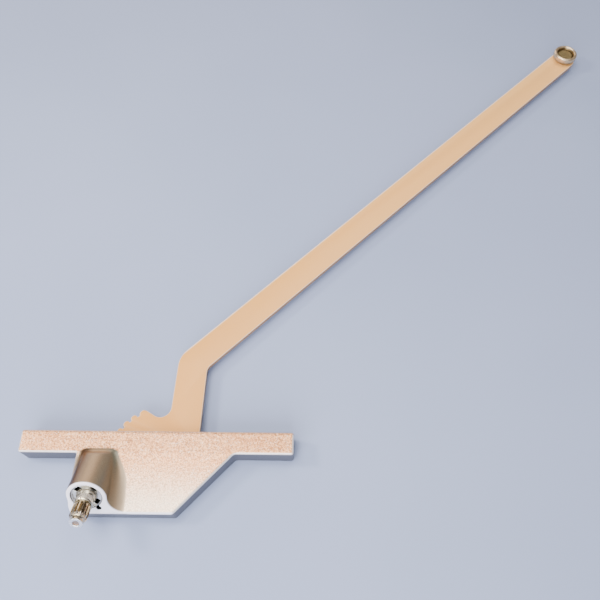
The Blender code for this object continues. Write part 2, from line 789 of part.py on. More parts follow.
def worm_radius(angle, along):
    """Radius of the worm at this angle round the shaft and distance along it."""
    phase = (thread_wave() * along - angle - thread_phase() + math.pi) % math.tau - math.pi
    width = 2 * abs(phase) / thread_wave()
    height = min(max((THREAD_BASE - width) / (THREAD_BASE - THREAD_CREST), 0), 1)
    run_out = 1.0 * MM
    ends = min((along - WORM_START) / run_out, (WORM_END - along) / run_out, 1)
    return WORM_ROOT_RADIUS + (WORM_CREST_RADIUS - WORM_ROOT_RADIUS) * height * max(ends, 0)


def shaft_ring(along, radius_at):
    ring = []
    for side in range(SHAFT_SIDES):
        angle = math.tau * side / SHAFT_SIDES
        point = polar(radius_at(angle, side), angle)
        ring.append((point.x, point.y, along))
    return ring


def plain_rings(steps):
    """Round rings from distance and radius pairs."""
    return [shaft_ring(along * MM, lambda angle, side, r=radius: r * MM) for along, radius in steps]


def worm_rings():
    steps = 36
    rings = []
    for step in range(steps + 1):
        along = WORM_START + (WORM_END - WORM_START) * step / steps
        rings.append(shaft_ring(along, lambda angle, side, t=along: worm_radius(angle, t)))
    return rings


def spline_radius(angle, side):
    return SPLINE_CREST if side % 2 else SPLINE_ROOT


def chamfer_radius(angle, side):
    """The crests run down almost to the roots at the outer end."""
    return SPLINE_ROOT + 0.05 * MM if side % 2 else SPLINE_ROOT


def spline_rings():
    return [
        shaft_ring(SPLINE_START, spline_radius),
        shaft_ring(39.3 * MM, spline_radius),
        shaft_ring(40.4 * MM, chamfer_radius),
    ]


def journal_rings():
    """The plain shaft in front of the worm, with the flange that the two thrust washers hold."""
    neck = 3.3
    flange = THRUST_RADIUS / MM
    low = THRUST_LOW / MM
    high = THRUST_HIGH / MM
    journal = JOURNAL_RADIUS / MM
    end = SPLINE_START / MM - 0.3
    taper = 0.1
    behind = ((6.1, neck), (low - taper, neck))
    in_front = ((high + taper, journal), (end, journal))
    return plain_rings((*behind, (low, flange), (high, flange), *in_front))


def tail_rings():
    low = TAIL_LOW / MM
    radius = TAIL_RADIUS / MM
    chamfer = 0.3
    high = WORM_START / MM - chamfer
    return plain_rings(((low, radius - chamfer), (low + chamfer, radius), (high, radius)))


def tip_rings():
    """The smooth tip, with a centre hole in its flat end."""
    return plain_rings(((40.6, 3.3), (42.6, 3.3), (42.9, 3.0), (42.9, 1.7), (42.3, 1.5)))


def make_worm_shaft(material, shaft):
    rings = tail_rings() + worm_rings() + journal_rings() + spline_rings() + tip_rings()
    return add_part("worm_shaft", loft_mesh("worm_shaft", rings), material, shaft)


def make_shaft_bearings(steel, bronze, plastic, shaft):
    """The rings on the shaft. The rear bushing is trimmed where it would stand below the underside."""
    tail_inner = TAIL_RADIUS + GAP
    tail_outer = TAIL_BORE_RADIUS - GAP
    tail_low = TAIL_BORE_LOW + GAP
    tail_high = TUNNEL_LOW + 0.2 * MM
    bushing = add_ring("rear_bushing", tail_inner, tail_outer, tail_low, tail_high, bronze, shaft, 24)
    far = 50 * MM
    cut(bushing, add_helper("bushing_trim", box_mesh("bushing_trim", (-far, -far, -far), (far, far, GAP))))
    inner = JOURNAL_RADIUS + GAP
    outer = PLUG_RADIUS - 0.05 * MM
    first_high = THRUST_LOW - GAP
    second_low = THRUST_HIGH + GAP
    add_ring("inner_thrust_washer", inner, outer, first_high - WASHER_THICK, first_high, plastic, shaft)
    add_ring("outer_thrust_washer", inner, outer, second_low, second_low + WASHER_THICK, plastic, shaft)
    add_ring("retaining_ring", 6.7 * MM, PLUG_RADIUS, PLUG_FACE + GAP, 27.1 * MM, steel, shaft, 40)
    add_ring("shaft_collar", inner, COLLAR_RADIUS, COLLAR_LOW, COLLAR_HIGH, steel, shaft, 24)


def make_bearing_plug(material, shaft):
    """The threaded bearing in the boss, with a hub in front and four spanner notches in its rim."""
    inner = JOURNAL_RADIUS + GAP
    profile = [
        (inner, PLUG_HUB_END),
        (PLUG_HUB_RADIUS, PLUG_HUB_END),
        (PLUG_HUB_RADIUS, PLUG_FACE),
        (PLUG_RADIUS, PLUG_FACE),
        (PLUG_RADIUS, PLUG_LOW),
        (inner, PLUG_LOW),
    ]
    plug = turned(add_part("bearing_plug", profile_mesh("bearing_plug", profile, True), material, shaft), 40)
    low = (PLUG_HUB_RADIUS + GAP, -NOTCH_WIDTH / 2, PLUG_FACE - NOTCH_DEPTH)
    high = (BORE_RADIUS + 1 * MM, NOTCH_WIDTH / 2, PLUG_FACE + 1 * MM)
    for index in range(PLUG_NOTCHES):
        name = f"plug_notch_{index + 1}"
        notch = add_helper(name, box_mesh(name, low, high), shaft)
        notch.rotation_euler = (0, 0, math.tau * (index + 0.5) / PLUG_NOTCHES)
        cut(plug, notch)
    return plug


# Roller on its stud at the end of the arm


def roller_profile():
    """A rounded rim round the recess that holds the stud's head."""
    bore = RIVET_SHANK_RADIUS + GAP
    recess = STUD_HEAD_RADIUS + GAP
    low = ROLLER_WASHER_HIGH + GAP
    recess_floor = STUD_HEAD_LOW - GAP
    return [
        (recess, 13.0 * MM),
        (6.1 * MM, 14.1 * MM),
        (7.0 * MM, 14.8 * MM),
        (7.7 * MM, 14.4 * MM),
        (8.1 * MM, 13.5 * MM),
        (8.1 * MM, 11.3 * MM),
        (7.6 * MM, 10.3 * MM),
        (6.7 * MM, low),
        (bore, low),
        (bore, recess_floor),
        (recess, recess_floor),
    ]


def roller_stud_profile():
    chamfer = 0.2 * MM
    rivet_high = ARM_LOW - GAP
    rivet_chamfer = 0.3 * MM
    return [
        (0, STUD_HEAD_HIGH),
        (STUD_HEAD_RADIUS - chamfer, STUD_HEAD_HIGH),
        (STUD_HEAD_RADIUS, STUD_HEAD_HIGH - chamfer),
        (STUD_HEAD_RADIUS, STUD_HEAD_LOW),
        (RIVET_SHANK_RADIUS, STUD_HEAD_LOW),
        (RIVET_SHANK_RADIUS, rivet_high),
        (RIVET_HEAD_RADIUS, rivet_high),
        (RIVET_HEAD_RADIUS, RIVET_HEAD_LOW + rivet_chamfer),
        (RIVET_HEAD_RADIUS - rivet_chamfer, RIVET_HEAD_LOW),
        (0, RIVET_HEAD_LOW),
    ]


def make_roller(brass, steel, arm_end):
    """The roller turns on a stud that is riveted through the arm's end."""
    inner = RIVET_SHANK_RADIUS + GAP
    add_ring("roller_washer", inner, 5.6 * MM, ARM_HIGH + GAP, ROLLER_WASHER_HIGH, steel, arm_end, 24)
    turned(add_part("roller", profile_mesh("roller", roller_profile(), True), brass, arm_end), 36)
    stud = profile_mesh("roller_stud", roller_stud_profile(), False)
    turned(add_part("roller_stud", stud, brass, arm_end))


def main():
    cast = new_material("cast_metallic_paint", (0.70, 0.60, 0.49), 0.6, 0.42)
    paint = new_material("arm_paint", (0.74, 0.56, 0.38), 0.0, 0.45)
    zinc = new_material("zinc_plated_steel", (0.72, 0.70, 0.66), 1.0, 0.25)
    plate_zinc = new_material("pressed_zinc_plate", (0.62, 0.61, 0.58), 1.0, 0.4)
    bronze = new_material("sintered_bronze", (0.55, 0.38, 0.20), 1.0, 0.5)
    acetal = new_material("white_acetal", (0.85, 0.84, 0.80), 0.0, 0.4)
    brass = new_material("nickel_brass", (0.52, 0.44, 0.28), 1.0, 0.3)

    shaft = new_empty("shaft_axis", (SHAFT_X, 0, ARM_MIDDLE), math.radians(90) - SHAFT_TILT)
    arm_end = new_empty("roller_axis", (ROLLER_CENTRE.x, ROLLER_CENTRE.y, 0))

    make_housing(shaft, cast)
    make_base_plate(plate_zinc)
    make_base_screws(zinc)
    make_pivot(zinc, bronze)
    make_arm(paint)
    make_worm_shaft(zinc, shaft)
    make_shaft_bearings(zinc, bronze, acetal, shaft)
    make_bearing_plug(zinc, shaft)
    make_roller(brass, zinc, arm_end)


clear_scene()
parts = new_collection(PARTS_NAME)
helpers = new_collection("cutters")
main()
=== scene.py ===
"""Looks of a worm-driven window operator: a smooth die-cast housing with a splined crank stub, and a painted
swing arm that ends in a ringed roller.

Objects are in metres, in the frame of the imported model. Dimensions and distance fields are in millimetres.
"""

import functools
import math

import bmesh
import bpy
import numpy as np
from mathutils import Matrix, Vector


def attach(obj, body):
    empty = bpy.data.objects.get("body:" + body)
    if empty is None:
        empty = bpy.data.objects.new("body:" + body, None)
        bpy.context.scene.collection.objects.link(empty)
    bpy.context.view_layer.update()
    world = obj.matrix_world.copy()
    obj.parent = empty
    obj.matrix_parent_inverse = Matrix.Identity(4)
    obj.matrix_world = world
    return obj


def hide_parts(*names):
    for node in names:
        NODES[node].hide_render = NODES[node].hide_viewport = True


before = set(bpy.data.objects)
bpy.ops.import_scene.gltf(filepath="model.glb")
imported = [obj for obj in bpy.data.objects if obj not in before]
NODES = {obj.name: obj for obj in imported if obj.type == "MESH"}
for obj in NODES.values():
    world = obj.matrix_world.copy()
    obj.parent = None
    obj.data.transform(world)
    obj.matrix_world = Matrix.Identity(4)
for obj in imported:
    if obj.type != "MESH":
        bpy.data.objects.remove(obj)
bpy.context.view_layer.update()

MM = 0.001
GAP = 0.3

# Shaft axis: it tilts in the YZ plane and is at height SHAFT_Z where Y is 0. Distances along it start there.
SHAFT_X = -28.6
SHAFT_Z = 6.8
TILT = math.radians(32)
COS = math.cos(TILT)
SIN = math.sin(TILT)

# Boss round the shaft, its bore, and the openings round the worm and the shaft's rear end
BOSS_RADIUS = 9.7
BOSS_END = 27.47
REAR_WALL = math.radians(76)
FACE_WIDTH = 17.2  # the front face leans forward beyond this distance to the right
FACE_LEAN = 0.35
BORE_RADIUS = 7.6
BORE_FLOOR = 12.0
LOCK_HOLE = (5.0, -7.3)
LOCK_HOLE_RADIUS = 1.25
LOCK_HOLE_DEPTH = 3.0
TUNNEL_RADIUS = 4.75
TUNNEL_LOW = -5.2
TAIL_BORE_RADIUS = 2.9
TAIL_BORE_LOW = -8.9

# Housing
STRIP_HALF = 69.85
STRIP_DEPTH = 11.5
STRIP_HEIGHT = 13.64
BODY_DEPTH = 29.2
BODY_LEFT = -38.25
LEFT_FLARE = 1.8
FLARE_LENGTH = 19
BODY_RIGHT_BACK = 39.55
BODY_RIGHT_FRONT = 11.45
RIGHT_LEAN = (BODY_RIGHT_BACK - BODY_RIGHT_FRONT) / BODY_DEPTH
BODY_FRONT_HEIGHT = 12.4
ROOF_SLOPE = (STRIP_HEIGHT - BODY_FRONT_HEIGHT) / BODY_DEPTH
WALL = 2.0
LEDGE = 0.6
CEILING = 11.3
PLATE_THICK = 1.6
PLATE_HALF = 50
SLOT_LEFT = -25.2
SLOT_RIGHT = 42.8
SLOT_TOP = 9.0
SWEEP_RADIUS = 26.45
BELOW = -3.0  # where cutters start, below the underside
POST_RADIUS = 2.5
SCREW_PLACES = ((-44.0, 5.75), (46.0, 5.75), (-33.2, -23.8), (29.25, -3.7))
SCREW_UNDER_BOSS = 2  # this one goes into solid metal and has no post
MOUNT_HOLE_X = 60
MOUNT_HOLE_DEPTH = 8

# Roundings of the casting's edges
STRIP_CORNER = 1.2
BODY_CORNER = 0.7
INNER_CORNER = 0.8
TOP_EDGE = 1.15
REAR_BLEND = 2.6
BOSS_EDGE = 0.7
FRONT_EDGE = 0.75
BOTTOM_EDGE = 0.35

# Roller's axis, and the turned pieces on the shaft
ROLLER = (266.35, 297.9)
PLUG_RADIUS = 7.25
PLUG_BORE = 3.9
PLUG_LOW = 17.0
PLUG_RIM_END = 26.1
PLUG_HUB_RADIUS = 5.0
PLUG_HUB_END = 26.6
NOTCHES = 4
NOTCH_HALF_WIDTH = 1.75
NOTCH_FLOOR = 22.5


# ---------------------------------------------------------------- distance fields


def round_max(a, b, r):
    """Intersection of two fields, with its convex edge rounded to radius r."""
    return np.minimum(-r, np.maximum(a, b)) + np.hypot(np.maximum(a + r, 0), np.maximum(b + r, 0))


def round_min(a, b, r):
    """Union of two fields, with its concave edge filled to radius r."""
    return -round_max(-a, -b, r)


def carve(solid, hole, r=0.12):
    return round_max(solid, -hole, r)


def union(fields):
    return functools.reduce(np.minimum, fields)


def slab(value, low, high):
    return np.maximum(low - value, value - high)


def box_field(p, low, high):
    """A box with sharp edges. Outside it, the field is the true distance."""
    field = round_max(slab(p[0], low[0], high[0]), slab(p[1], low[1], high[1]), 0)
    return round_max(field, slab(p[2], low[2], high[2]), 0)


def rod(p, centre, radius, low, high):
    """Upright cylinder."""
    return np.maximum(np.hypot(p[0] - centre[0], p[1] - centre[1]) - radius, slab(p[2], low, high))


def shaft_coords(p):
    """Across, along and up, on the tilted shaft axis."""
    across = p[0] - SHAFT_X
    along = -COS * p[1] + SIN * (p[2] - SHAFT_Z)
    up = SIN * p[1] + COS * (p[2] - SHAFT_Z)
    return across, along, up


def shaft_rod(s, radius, low, high, centre=(0, 0)):
    """Cylinder along the shaft, or beside it."""
    return np.maximum(np.hypot(s[0] - centre[0], s[2] - centre[1]) - radius, slab(s[1], low, high))


def body_right(y, inset):
    """The slanted right wall's X at this Y, moved in square to the wall."""
    return BODY_RIGHT_BACK + RIGHT_LEAN * y - inset * math.hypot(1, RIGHT_LEAN)


def body_outside(p):
    """Plan of the trapezoid body. Its left wall flares out towards the strip."""
    slant = (p[0] - body_right(p[1], 0)) / math.hypot(1, RIGHT_LEAN)
    flare = LEFT_FLARE * np.clip((p[1] + BODY_DEPTH) / FLARE_LENGTH, 0, 1)
    field = round_max(BODY_LEFT - flare - p[0], -BODY_DEPTH - p[1], BODY_CORNER)
    field = round_max(field, slant, BODY_CORNER)
    return np.maximum(field, p[1] - STRIP_DEPTH / 2)


def body_inside(p, inset):
    """Plan of a hollow in the body, this far in from its outside."""
    slant = (p[0] - body_right(p[1], inset)) / math.hypot(1, RIGHT_LEAN)
    field = round_max(BODY_LEFT + inset - p[0], -BODY_DEPTH + inset - p[1], 0)
    return np.maximum(round_max(field, slant, 0), p[1] - (STRIP_DEPTH - inset))


def fillet_radius(along):
    """Radius of the blend beside the boss, with a narrower waist near its rear end."""
    places = (0, 2.7, 4.0, 5.4, 7.0, 9.0, 11.0, 13.5, 16.0, 20.0, 27.5)
    return np.interp(along, places, (8.6, 8.2, 6.9, 6.1, 6.3, 7.2, 7.9, 8.4, 8.2, 7.8, 7.9))


def boss_field(s, top):
    """The boss with its blends down to the roof. top is the height above the roof."""
    tiny = 0.01
    across, along, up = s
    x = np.abs(across)
    radius = fillet_radius(along)
    rise = up - top / COS + radius
    reach = (BOSS_RADIUS + radius) ** 2 - rise**2
    run = np.sqrt(np.maximum(reach, tiny))
    dx = x - run
    du = up - rise
    inside = (dx <= 0) & (run * du - rise * dx <= 0) & (reach > tiny)
    return np.where(inside, radius - np.hypot(dx, du), np.hypot(across, up) - BOSS_RADIUS)


def outer_field(p):
    """Outside of the casting: the strip and the body in plan, closed above by the roof and the boss."""
    s = shaft_coords(p)
    strip = round_max(np.abs(p[0]) - STRIP_HALF, slab(p[1], 0, STRIP_DEPTH), STRIP_CORNER)
    plan = round_min(strip, body_outside(p), INNER_CORNER)
    roof = p[2] - STRIP_HEIGHT - ROOF_SLOPE * np.minimum(p[1], 0)
    rear = (p[2] - STRIP_HEIGHT) * math.cos(REAR_WALL) + p[1] * math.sin(REAR_WALL)
    boss = round_max(boss_field(s, roof), round_min(rear, roof, REAR_BLEND), BOSS_EDGE)
    field = round_max(plan, np.minimum(roof, boss), TOP_EDGE)
    face = s[1] - BOSS_END - FACE_LEAN * np.maximum(s[0] - FACE_WIDTH, 0)
    field = round_max(field, face, FRONT_EDGE)
    return round_max(field, -p[2], BOTTOM_EDGE)


def plate_seat(p):
    """Hollow that the base plate seats in."""
    strip = np.maximum(np.abs(p[0]) - PLATE_HALF, slab(p[1], WALL, STRIP_DEPTH - WALL))
    return np.maximum(np.minimum(strip, body_inside(p, WALL)), slab(p[2], BELOW, PLATE_THICK + GAP))


def cavity(p):
    """Room for the gear sector. It stays clear of the solid metal under the boss, by a slanted corner."""
    inset = WALL + LEDGE
    left = -22
    corner = -13
    corner_slope = 9 / 13.6
    slant = (corner - p[0] + (corner - p[1]) * corner_slope) / math.hypot(1, corner_slope)
    body = np.maximum(np.maximum(body_inside(p, inset), left - p[0]), slant)
    strip = np.maximum(slab(p[0], 0, PLATE_HALF - LEDGE), slab(p[1], inset, STRIP_DEPTH - inset))
    return np.maximum(np.minimum(strip, body), slab(p[2], BELOW, CEILING))


def well(p, half_width, front, back, top):
    """Opening below the shaft."""
    return box_field(p, (SHAFT_X - half_width, front, BELOW), (SHAFT_X + half_width, back, top))


def hollow_field(p, s):
    """What is open from below."""
    inset = WALL + LEDGE
    pocket_low = (-PLATE_HALF + LEDGE, inset, BELOW)
    return union(
        (
            plate_seat(p),
            cavity(p),
            box_field(p, pocket_low, (-34.5, STRIP_DEPTH - inset, CEILING)),
            rod(p, (0, 0), SWEEP_RADIUS, BELOW, SLOT_TOP),
            box_field(p, (SLOT_LEFT, STRIP_DEPTH / 2, BELOW), (SLOT_RIGHT, STRIP_DEPTH + 3, SLOT_TOP)),
            shaft_rod(s, TUNNEL_RADIUS, TUNNEL_LOW, BORE_FLOOR + 1),
            shaft_rod(s, TAIL_BORE_RADIUS, TAIL_BORE_LOW, TUNNEL_LOW + 1.2),
            well(p, TUNNEL_RADIUS, -8, 4.3, 5),
            well(p, TAIL_BORE_RADIUS, 4, 8.8, 2.5),
        )
    )


def casting_field(p):
    """The whole housing: below zero is metal."""
    s = shaft_coords(p)
    solid = carve(outer_field(p), hollow_field(p, s), 0.25)
    for index, place in enumerate(SCREW_PLACES):
        if index != SCREW_UNDER_BOSS:
            solid = np.minimum(solid, rod(p, place, POST_RADIUS, PLATE_THICK + 0.5, CEILING + 0.5))
    pivot_pad = rod(p, (0, 0), 7.0, 10.5, CEILING + 0.6)
    pivot_socket = rod(p, (0, 0), 2.8, 5.0, 12.6)
    solid = carve(np.minimum(solid, pivot_pad), pivot_socket)
    for place in SCREW_PLACES:
        solid = carve(solid, rod(p, place, 1.6, 0, 8.5))
    for side in (-MOUNT_HOLE_X, MOUNT_HOLE_X):
        radial = np.hypot(p[0] - side, p[2] - STRIP_HEIGHT / 2)
        solid = carve(solid, np.maximum(radial - 2.0, STRIP_DEPTH - MOUNT_HOLE_DEPTH - p[1]), 0.3)
    beyond = 60
    solid = carve(solid, shaft_rod(s, BORE_RADIUS, BORE_FLOOR, beyond), 0.35)
    lock_hole = shaft_rod(s, LOCK_HOLE_RADIUS, BOSS_END - LOCK_HOLE_DEPTH, beyond, LOCK_HOLE)
    return carve(solid, lock_hole)


# ---------------------------------------------------------------- skin of a field


def skin_of(field, low, high, step):
    """Points and quads of the zero level of a field, as surface nets."""
    axes = [np.arange(low[i], high[i] + step, step) for i in range(3)]
    grid = np.meshgrid(*axes, indexing="ij")
    values = field(grid)
    inside = values < 0
    shape = [n - 1 for n in inside.shape]
    total = np.zeros((*shape, 3))
    count = np.zeros(shape)
    corners = [(i, j, k) for i in (0, 1) for j in (0, 1) for k in (0, 1)]
    for first in corners:
        for axis in range(3):
            if first[axis]:
                continue
            second = list(first)
            second[axis] = 1
            a = values[tuple(slice(o, o + n) for o, n in zip(first, shape))]
            b = values[tuple(slice(o, o + n) for o, n in zip(second, shape))]
            crossed = (a < 0) != (b < 0)
            share = np.where(crossed, a / np.where(crossed, a - b, 1), 0)
            for i in range(3):
                place = share if i == axis else float(first[i])
                total[..., i] += np.where(crossed, place, 0)
            count += crossed
    used = count > 0
    index = np.full(shape, -1)
    index[used] = np.arange(used.sum())
    cells = np.argwhere(used)
    origin = np.array([axis[0] for axis in axes])
    points = origin + (cells + total[used] / count[used][:, None]) * step
    return points, np.concatenate([quads_across(axis, inside, index) for axis in range(3)])


def quads_across(axis, inside, index):
    """A quad for each grid edge along this axis that leaves or enters the solid. index numbers the cells."""
    shape = index.shape
    u, v = (axis + 1) % 3, (axis + 2) % 3
    a = [slice(1, n) for n in shape]
    a[axis] = slice(0, shape[axis])
    b = list(a)
    b[axis] = slice(1, shape[axis] + 1)
    flip = inside[tuple(a)] != inside[tuple(b)]
    outward = inside[tuple(a)][flip]
    base = np.argwhere(flip) + [0 if i == axis else 1 for i in range(3)]
    around = []
    for du, dv in ((0, 0), (1, 0), (1, 1), (0, 1)):
        cell = base.copy()
        cell[:, u] -= du
        cell[:, v] -= dv
        around.append(index[tuple(cell.T)])
    quads = np.stack(around, 1)
    return np.where(outward[:, None], quads, quads[:, ::-1])


def settle(field, points, reach=0.35):
    """Moves each point onto the zero level along the field's slope, by at most reach."""
    points = points.copy()
    start = points.copy()
    tiny = 0.02
    flattest = 0.25
    for _ in range(3):
        value = field(points.T)
        slopes = []
        for axis in np.eye(3):
            rise = field((points + tiny * axis).T) - field((points - tiny * axis).T)
            slopes.append(rise / (2 * tiny))
        slope = np.stack(slopes, 1)
        size = np.maximum((slope**2).sum(1), flattest)
        points -= slope * (value / size)[:, None]
        move = points - start
        length = np.maximum(np.linalg.norm(move, axis=1), 1e-9)
        points = start + move * np.minimum(1, reach / length)[:, None]
    return points


def skin_mesh(name, field, low, high, step, reach, place=None):
    """A smooth object on the zero level of a field, put in place by a matrix."""
    points, quads = skin_of(field, low, high, step)
    points = settle(field, points, reach)
    obj = mesh_object(name, points, quads)
    if place is not None:
        obj.data.transform(place)
    return smooth(obj, 40)


def mesh_object(name, points, faces):
    mesh = bpy.data.meshes.new(name)
    mesh.from_pydata((np.asarray(points) * MM).tolist(), [], [list(map(int, f)) for f in faces])
    mesh.validate()
    return link(name, mesh)


def link(name, mesh):
    obj = bpy.data.objects.new(name, mesh)
    bpy.context.scene.collection.objects.link(obj)
    return obj


def smooth(obj, degrees=35):
    obj.data.shade_smooth()
    obj.data.set_sharp_from_angle(angle=math.radians(degrees))
    return obj


def make_housing():
    margin = 1.3
    low = (-STRIP_HALF - margin, -BODY_DEPTH - margin, -1.1)
    high = (STRIP_HALF + margin, STRIP_DEPTH + margin, 31)
    return skin_mesh("cast_housing", casting_field, low, high, 0.5, 0.35)


# ---------------------------------------------------------------- turned and swept pieces


def polar(radius, angle):
    return Vector((radius * math.cos(angle), radius * math.sin(angle)))


def arc(centre, radius, start, end, count):
    return [Vector(centre) + polar(radius, start + (end - start) * i / (count - 1)) for i in range(count)]


def circle(centre, radius, count):
    return [Vector(centre) + polar(radius, math.tau * i / count) for i in range(count)]


def corner_arc(before, corner, after, radius, count):
    """The arc that rounds a corner between two straight edges."""
    to_before = (before - corner).normalized()
    to_after = (after - corner).normalized()
    half = to_before.angle(to_after) / 2
    centre = corner + (to_before + to_after).normalized() * (radius / math.sin(half))
    first = corner + to_before * (radius / math.tan(half)) - centre
    last = corner + to_after * (radius / math.tan(half)) - centre
    turn = math.atan2(first.x * last.y - first.y * last.x, first.dot(last))
    start = math.atan2(first.y, first.x)
    return arc(centre, radius, start, start + turn, count)


def meet(start, direction, other_start, other_direction):
    """Where two lines in the plane cross."""
    between = other_start - start
    cross = direction.x * other_direction.y - direction.y * other_direction.x
    scale = (between.x * other_direction.y - between.y * other_direction.x) / cross
    return start + direction * scale


def rounded_profile(corners):
    """Profile points from (radius, height, rounding) corners. Rounding 0 keeps the corner sharp."""
    steps = 6
    points = []
    for i, (x, y, r) in enumerate(corners):
        corner = Vector((x, y))
        if r == 0:
            points.append(corner)
            continue
        before = Vector(corners[i - 1][:2])
        after = Vector(corners[(i + 1) % len(corners)][:2])
        points += corner_arc(before, corner, after, r, steps)
    return points


def lathe(name, corners, place, sides=96, ring=True):
    """A turned piece, put in place by a matrix. A profile that isn't a ring ends on the axis."""
    bm = bmesh.new()
    rows = []
    for radius, height in rounded_profile(corners):
        if radius < 1e-6:
            rows.append([bm.verts.new((0, 0, height * MM))] * sides)
            continue
        points = circle((0, 0), radius, sides)
        rows.append([bm.verts.new((point.x * MM, point.y * MM, height * MM)) for point in points])
    pairs = list(zip(rows, rows[1:]))
    if ring:
        pairs.append((rows[-1], rows[0]))
    for one, two in pairs:
        for side in range(sides):
            after = (side + 1) % sides
            loop = [one[side], one[after], two[after], two[side]]
            face = [v for i, v in enumerate(loop) if v not in loop[:i]]
            if len(face) > 2:
                bm.faces.new(face)
    return finish_bmesh(bm, name, place)


def finish_bmesh(bm, name, place=None, degrees=35):
    bmesh.ops.recalc_face_normals(bm, faces=bm.faces)
    if place is not None:
        bmesh.ops.transform(bm, matrix=place, verts=bm.verts)
    mesh = bpy.data.meshes.new(name)
    bm.to_mesh(mesh)
    bm.free()
    return smooth(link(name, mesh), degrees)


SHAFT_CENTRE = Matrix.Translation((SHAFT_X * MM, 0, SHAFT_Z * MM))
SHAFT_PLACE = SHAFT_CENTRE @ Matrix.Rotation(math.radians(90) - TILT, 4, "X")
ROLLER_PLACE = Matrix.Translation((ROLLER[0] * MM, ROLLER[1] * MM, 0))


# ---------------------------------------------------------------- arm

ARM_LOW = 5.2
ARM_HIGH = 8.4
ARM_MIDDLE = 6.8
ARM_WIDTH = 15.94
ARM_EDGE = 0.3
ELBOW = Vector((13.45, 51.7))
HUB_HOLE_RADIUS = 5.3
STUD_HOLE_RADIUS = 2.8
TEETH = 32
PITCH_RADIUS = 25.2
TIP_RADIUS = 26.0
ROOT_RADIUS = 24.1
VALLEYS = 11
FIRST_VALLEY = math.radians(122.1)
VALLEY_FLOOR = 1.3
TOOTH_PITCH = math.tau / TEETH
WORM_PITCH_RADIUS = -SHAFT_X - PITCH_RADIUS


def tooth_outline(valley):
    """A valley's floor, and the rounded tooth between that valley and the next."""
    half_floor = VALLEY_FLOOR / 2 / ROOT_RADIUS
    start = valley + half_floor
    end = valley + TOOTH_PITCH - half_floor
    bluntness = 0.7  # below 1 it widens the tip
    steps = 14
    points = [polar(ROOT_RADIUS, valley - half_floor * 0.9)]
    for step in range(steps):
        turn = math.pi * step / steps
        angle = (start + end) / 2 - (end - start) / 2 * math.cos(turn)
        points.append(polar(ROOT_RADIUS + (TIP_RADIUS - ROOT_RADIUS) * math.sin(turn) ** bluntness, angle))
    return points


def arm_outline():
    """The arm's edge, in order: lobe, sector, hub, right edge, long bar, left edge, notch."""
    end = Vector(ROLLER)
    along = (end - ELBOW).normalized()
    across = Vector((-along.y, along.x)) * (ARM_WIDTH / 2)
    left_low, left_high = Vector((4.1, 24.5)), Vector((5.3, 47.1))
    right_low, right_high = Vector((20.3, 3.0)), Vector((21.6, 47.5))
    outer_elbow = meet(left_low, left_high - left_low, end + across, along)
    inner_elbow = meet(right_low, right_high - right_low, end - across, along)
    hub_front, hub_right = Vector((2.0, -17.5)), Vector((16.5, -10.5))
    lobe_centre, lobe_radius = (-9.7, 21.1), 3.0
    notch_centre, notch_radius = (-1.2, 26.0), 5.6

    points = arc(lobe_centre, lobe_radius, math.radians(52), math.radians(158), 14)
    for index in range(VALLEYS):
        points += tooth_outline(FIRST_VALLEY + TOOTH_PITCH * index)
    sector_end = polar(ROOT_RADIUS, FIRST_VALLEY + TOOTH_PITCH * VALLEYS)
    points.append(sector_end)
    points += corner_arc(sector_end, hub_front, hub_right, 8, 9)
    points += corner_arc(hub_front, hub_right, right_low, 6, 9)
    points += corner_arc(hub_right, right_low, inner_elbow, 6, 9)
    points += corner_arc(right_low, inner_elbow, end - across, 6, 12)
    tip_start = math.atan2(-across.y, -across.x)
    points += arc(ROLLER, ARM_WIDTH / 2, tip_start, tip_start + math.pi, 40)
    points += corner_arc(end + across, outer_elbow, left_low, 14, 18)
    points += arc(notch_centre, notch_radius, math.radians(-6), math.radians(-125), 24)
    return points


def thread_wave():
    """Radians of worm phase per millimetre along the shaft, so that the thread meets the teeth's spacing."""
    spacing = PITCH_RADIUS * TOOTH_PITCH
    return (math.tau / spacing - SIN / WORM_PITCH_RADIUS) / COS


def tooth_lean():
    """How far a tooth leans along its row for each unit of height, to lie along the worm's thread."""
    wave = thread_wave()
    return (wave * SIN - COS / WORM_PITCH_RADIUS) / (wave * COS + SIN / WORM_PITCH_RADIUS)


def plate_bmesh(name, outlines, low, high, edge):
    """A flat plate with softly rounded edges, from the outlines of its edge and its holes."""
    curve = bpy.data.curves.new(name, "CURVE")
    curve.dimensions = "2D"
    curve.fill_mode = "BOTH"
    curve.extrude = ((high - low) / 2 - edge) * MM
    curve.bevel_depth = edge * MM
    curve.bevel_resolution = 2
    curve.offset = -edge * MM
    for outline in outlines:
        spline = curve.splines.new("POLY")
        spline.points.add(len(outline) - 1)
        for point, place in zip(spline.points, outline):
            point.co = (place[0] * MM, place[1] * MM, 0, 1)
        spline.use_cyclic_u = True
    guide = bpy.data.objects.new(f"{name}_guide", curve)
    bpy.context.scene.collection.objects.link(guide)
    graph = bpy.context.evaluated_depsgraph_get()
    mesh = bpy.data.meshes.new_from_object(guide.evaluated_get(graph))
    bpy.data.objects.remove(guide, do_unlink=True)
    bm = bmesh.new()
    bm.from_mesh(mesh)
    bmesh.ops.remove_doubles(bm, verts=bm.verts, dist=0.002 * MM)
    bmesh.ops.translate(bm, verts=bm.verts, vec=(0, 0, (low + high) / 2 * MM))
    bpy.data.meshes.remove(mesh)
    return bm


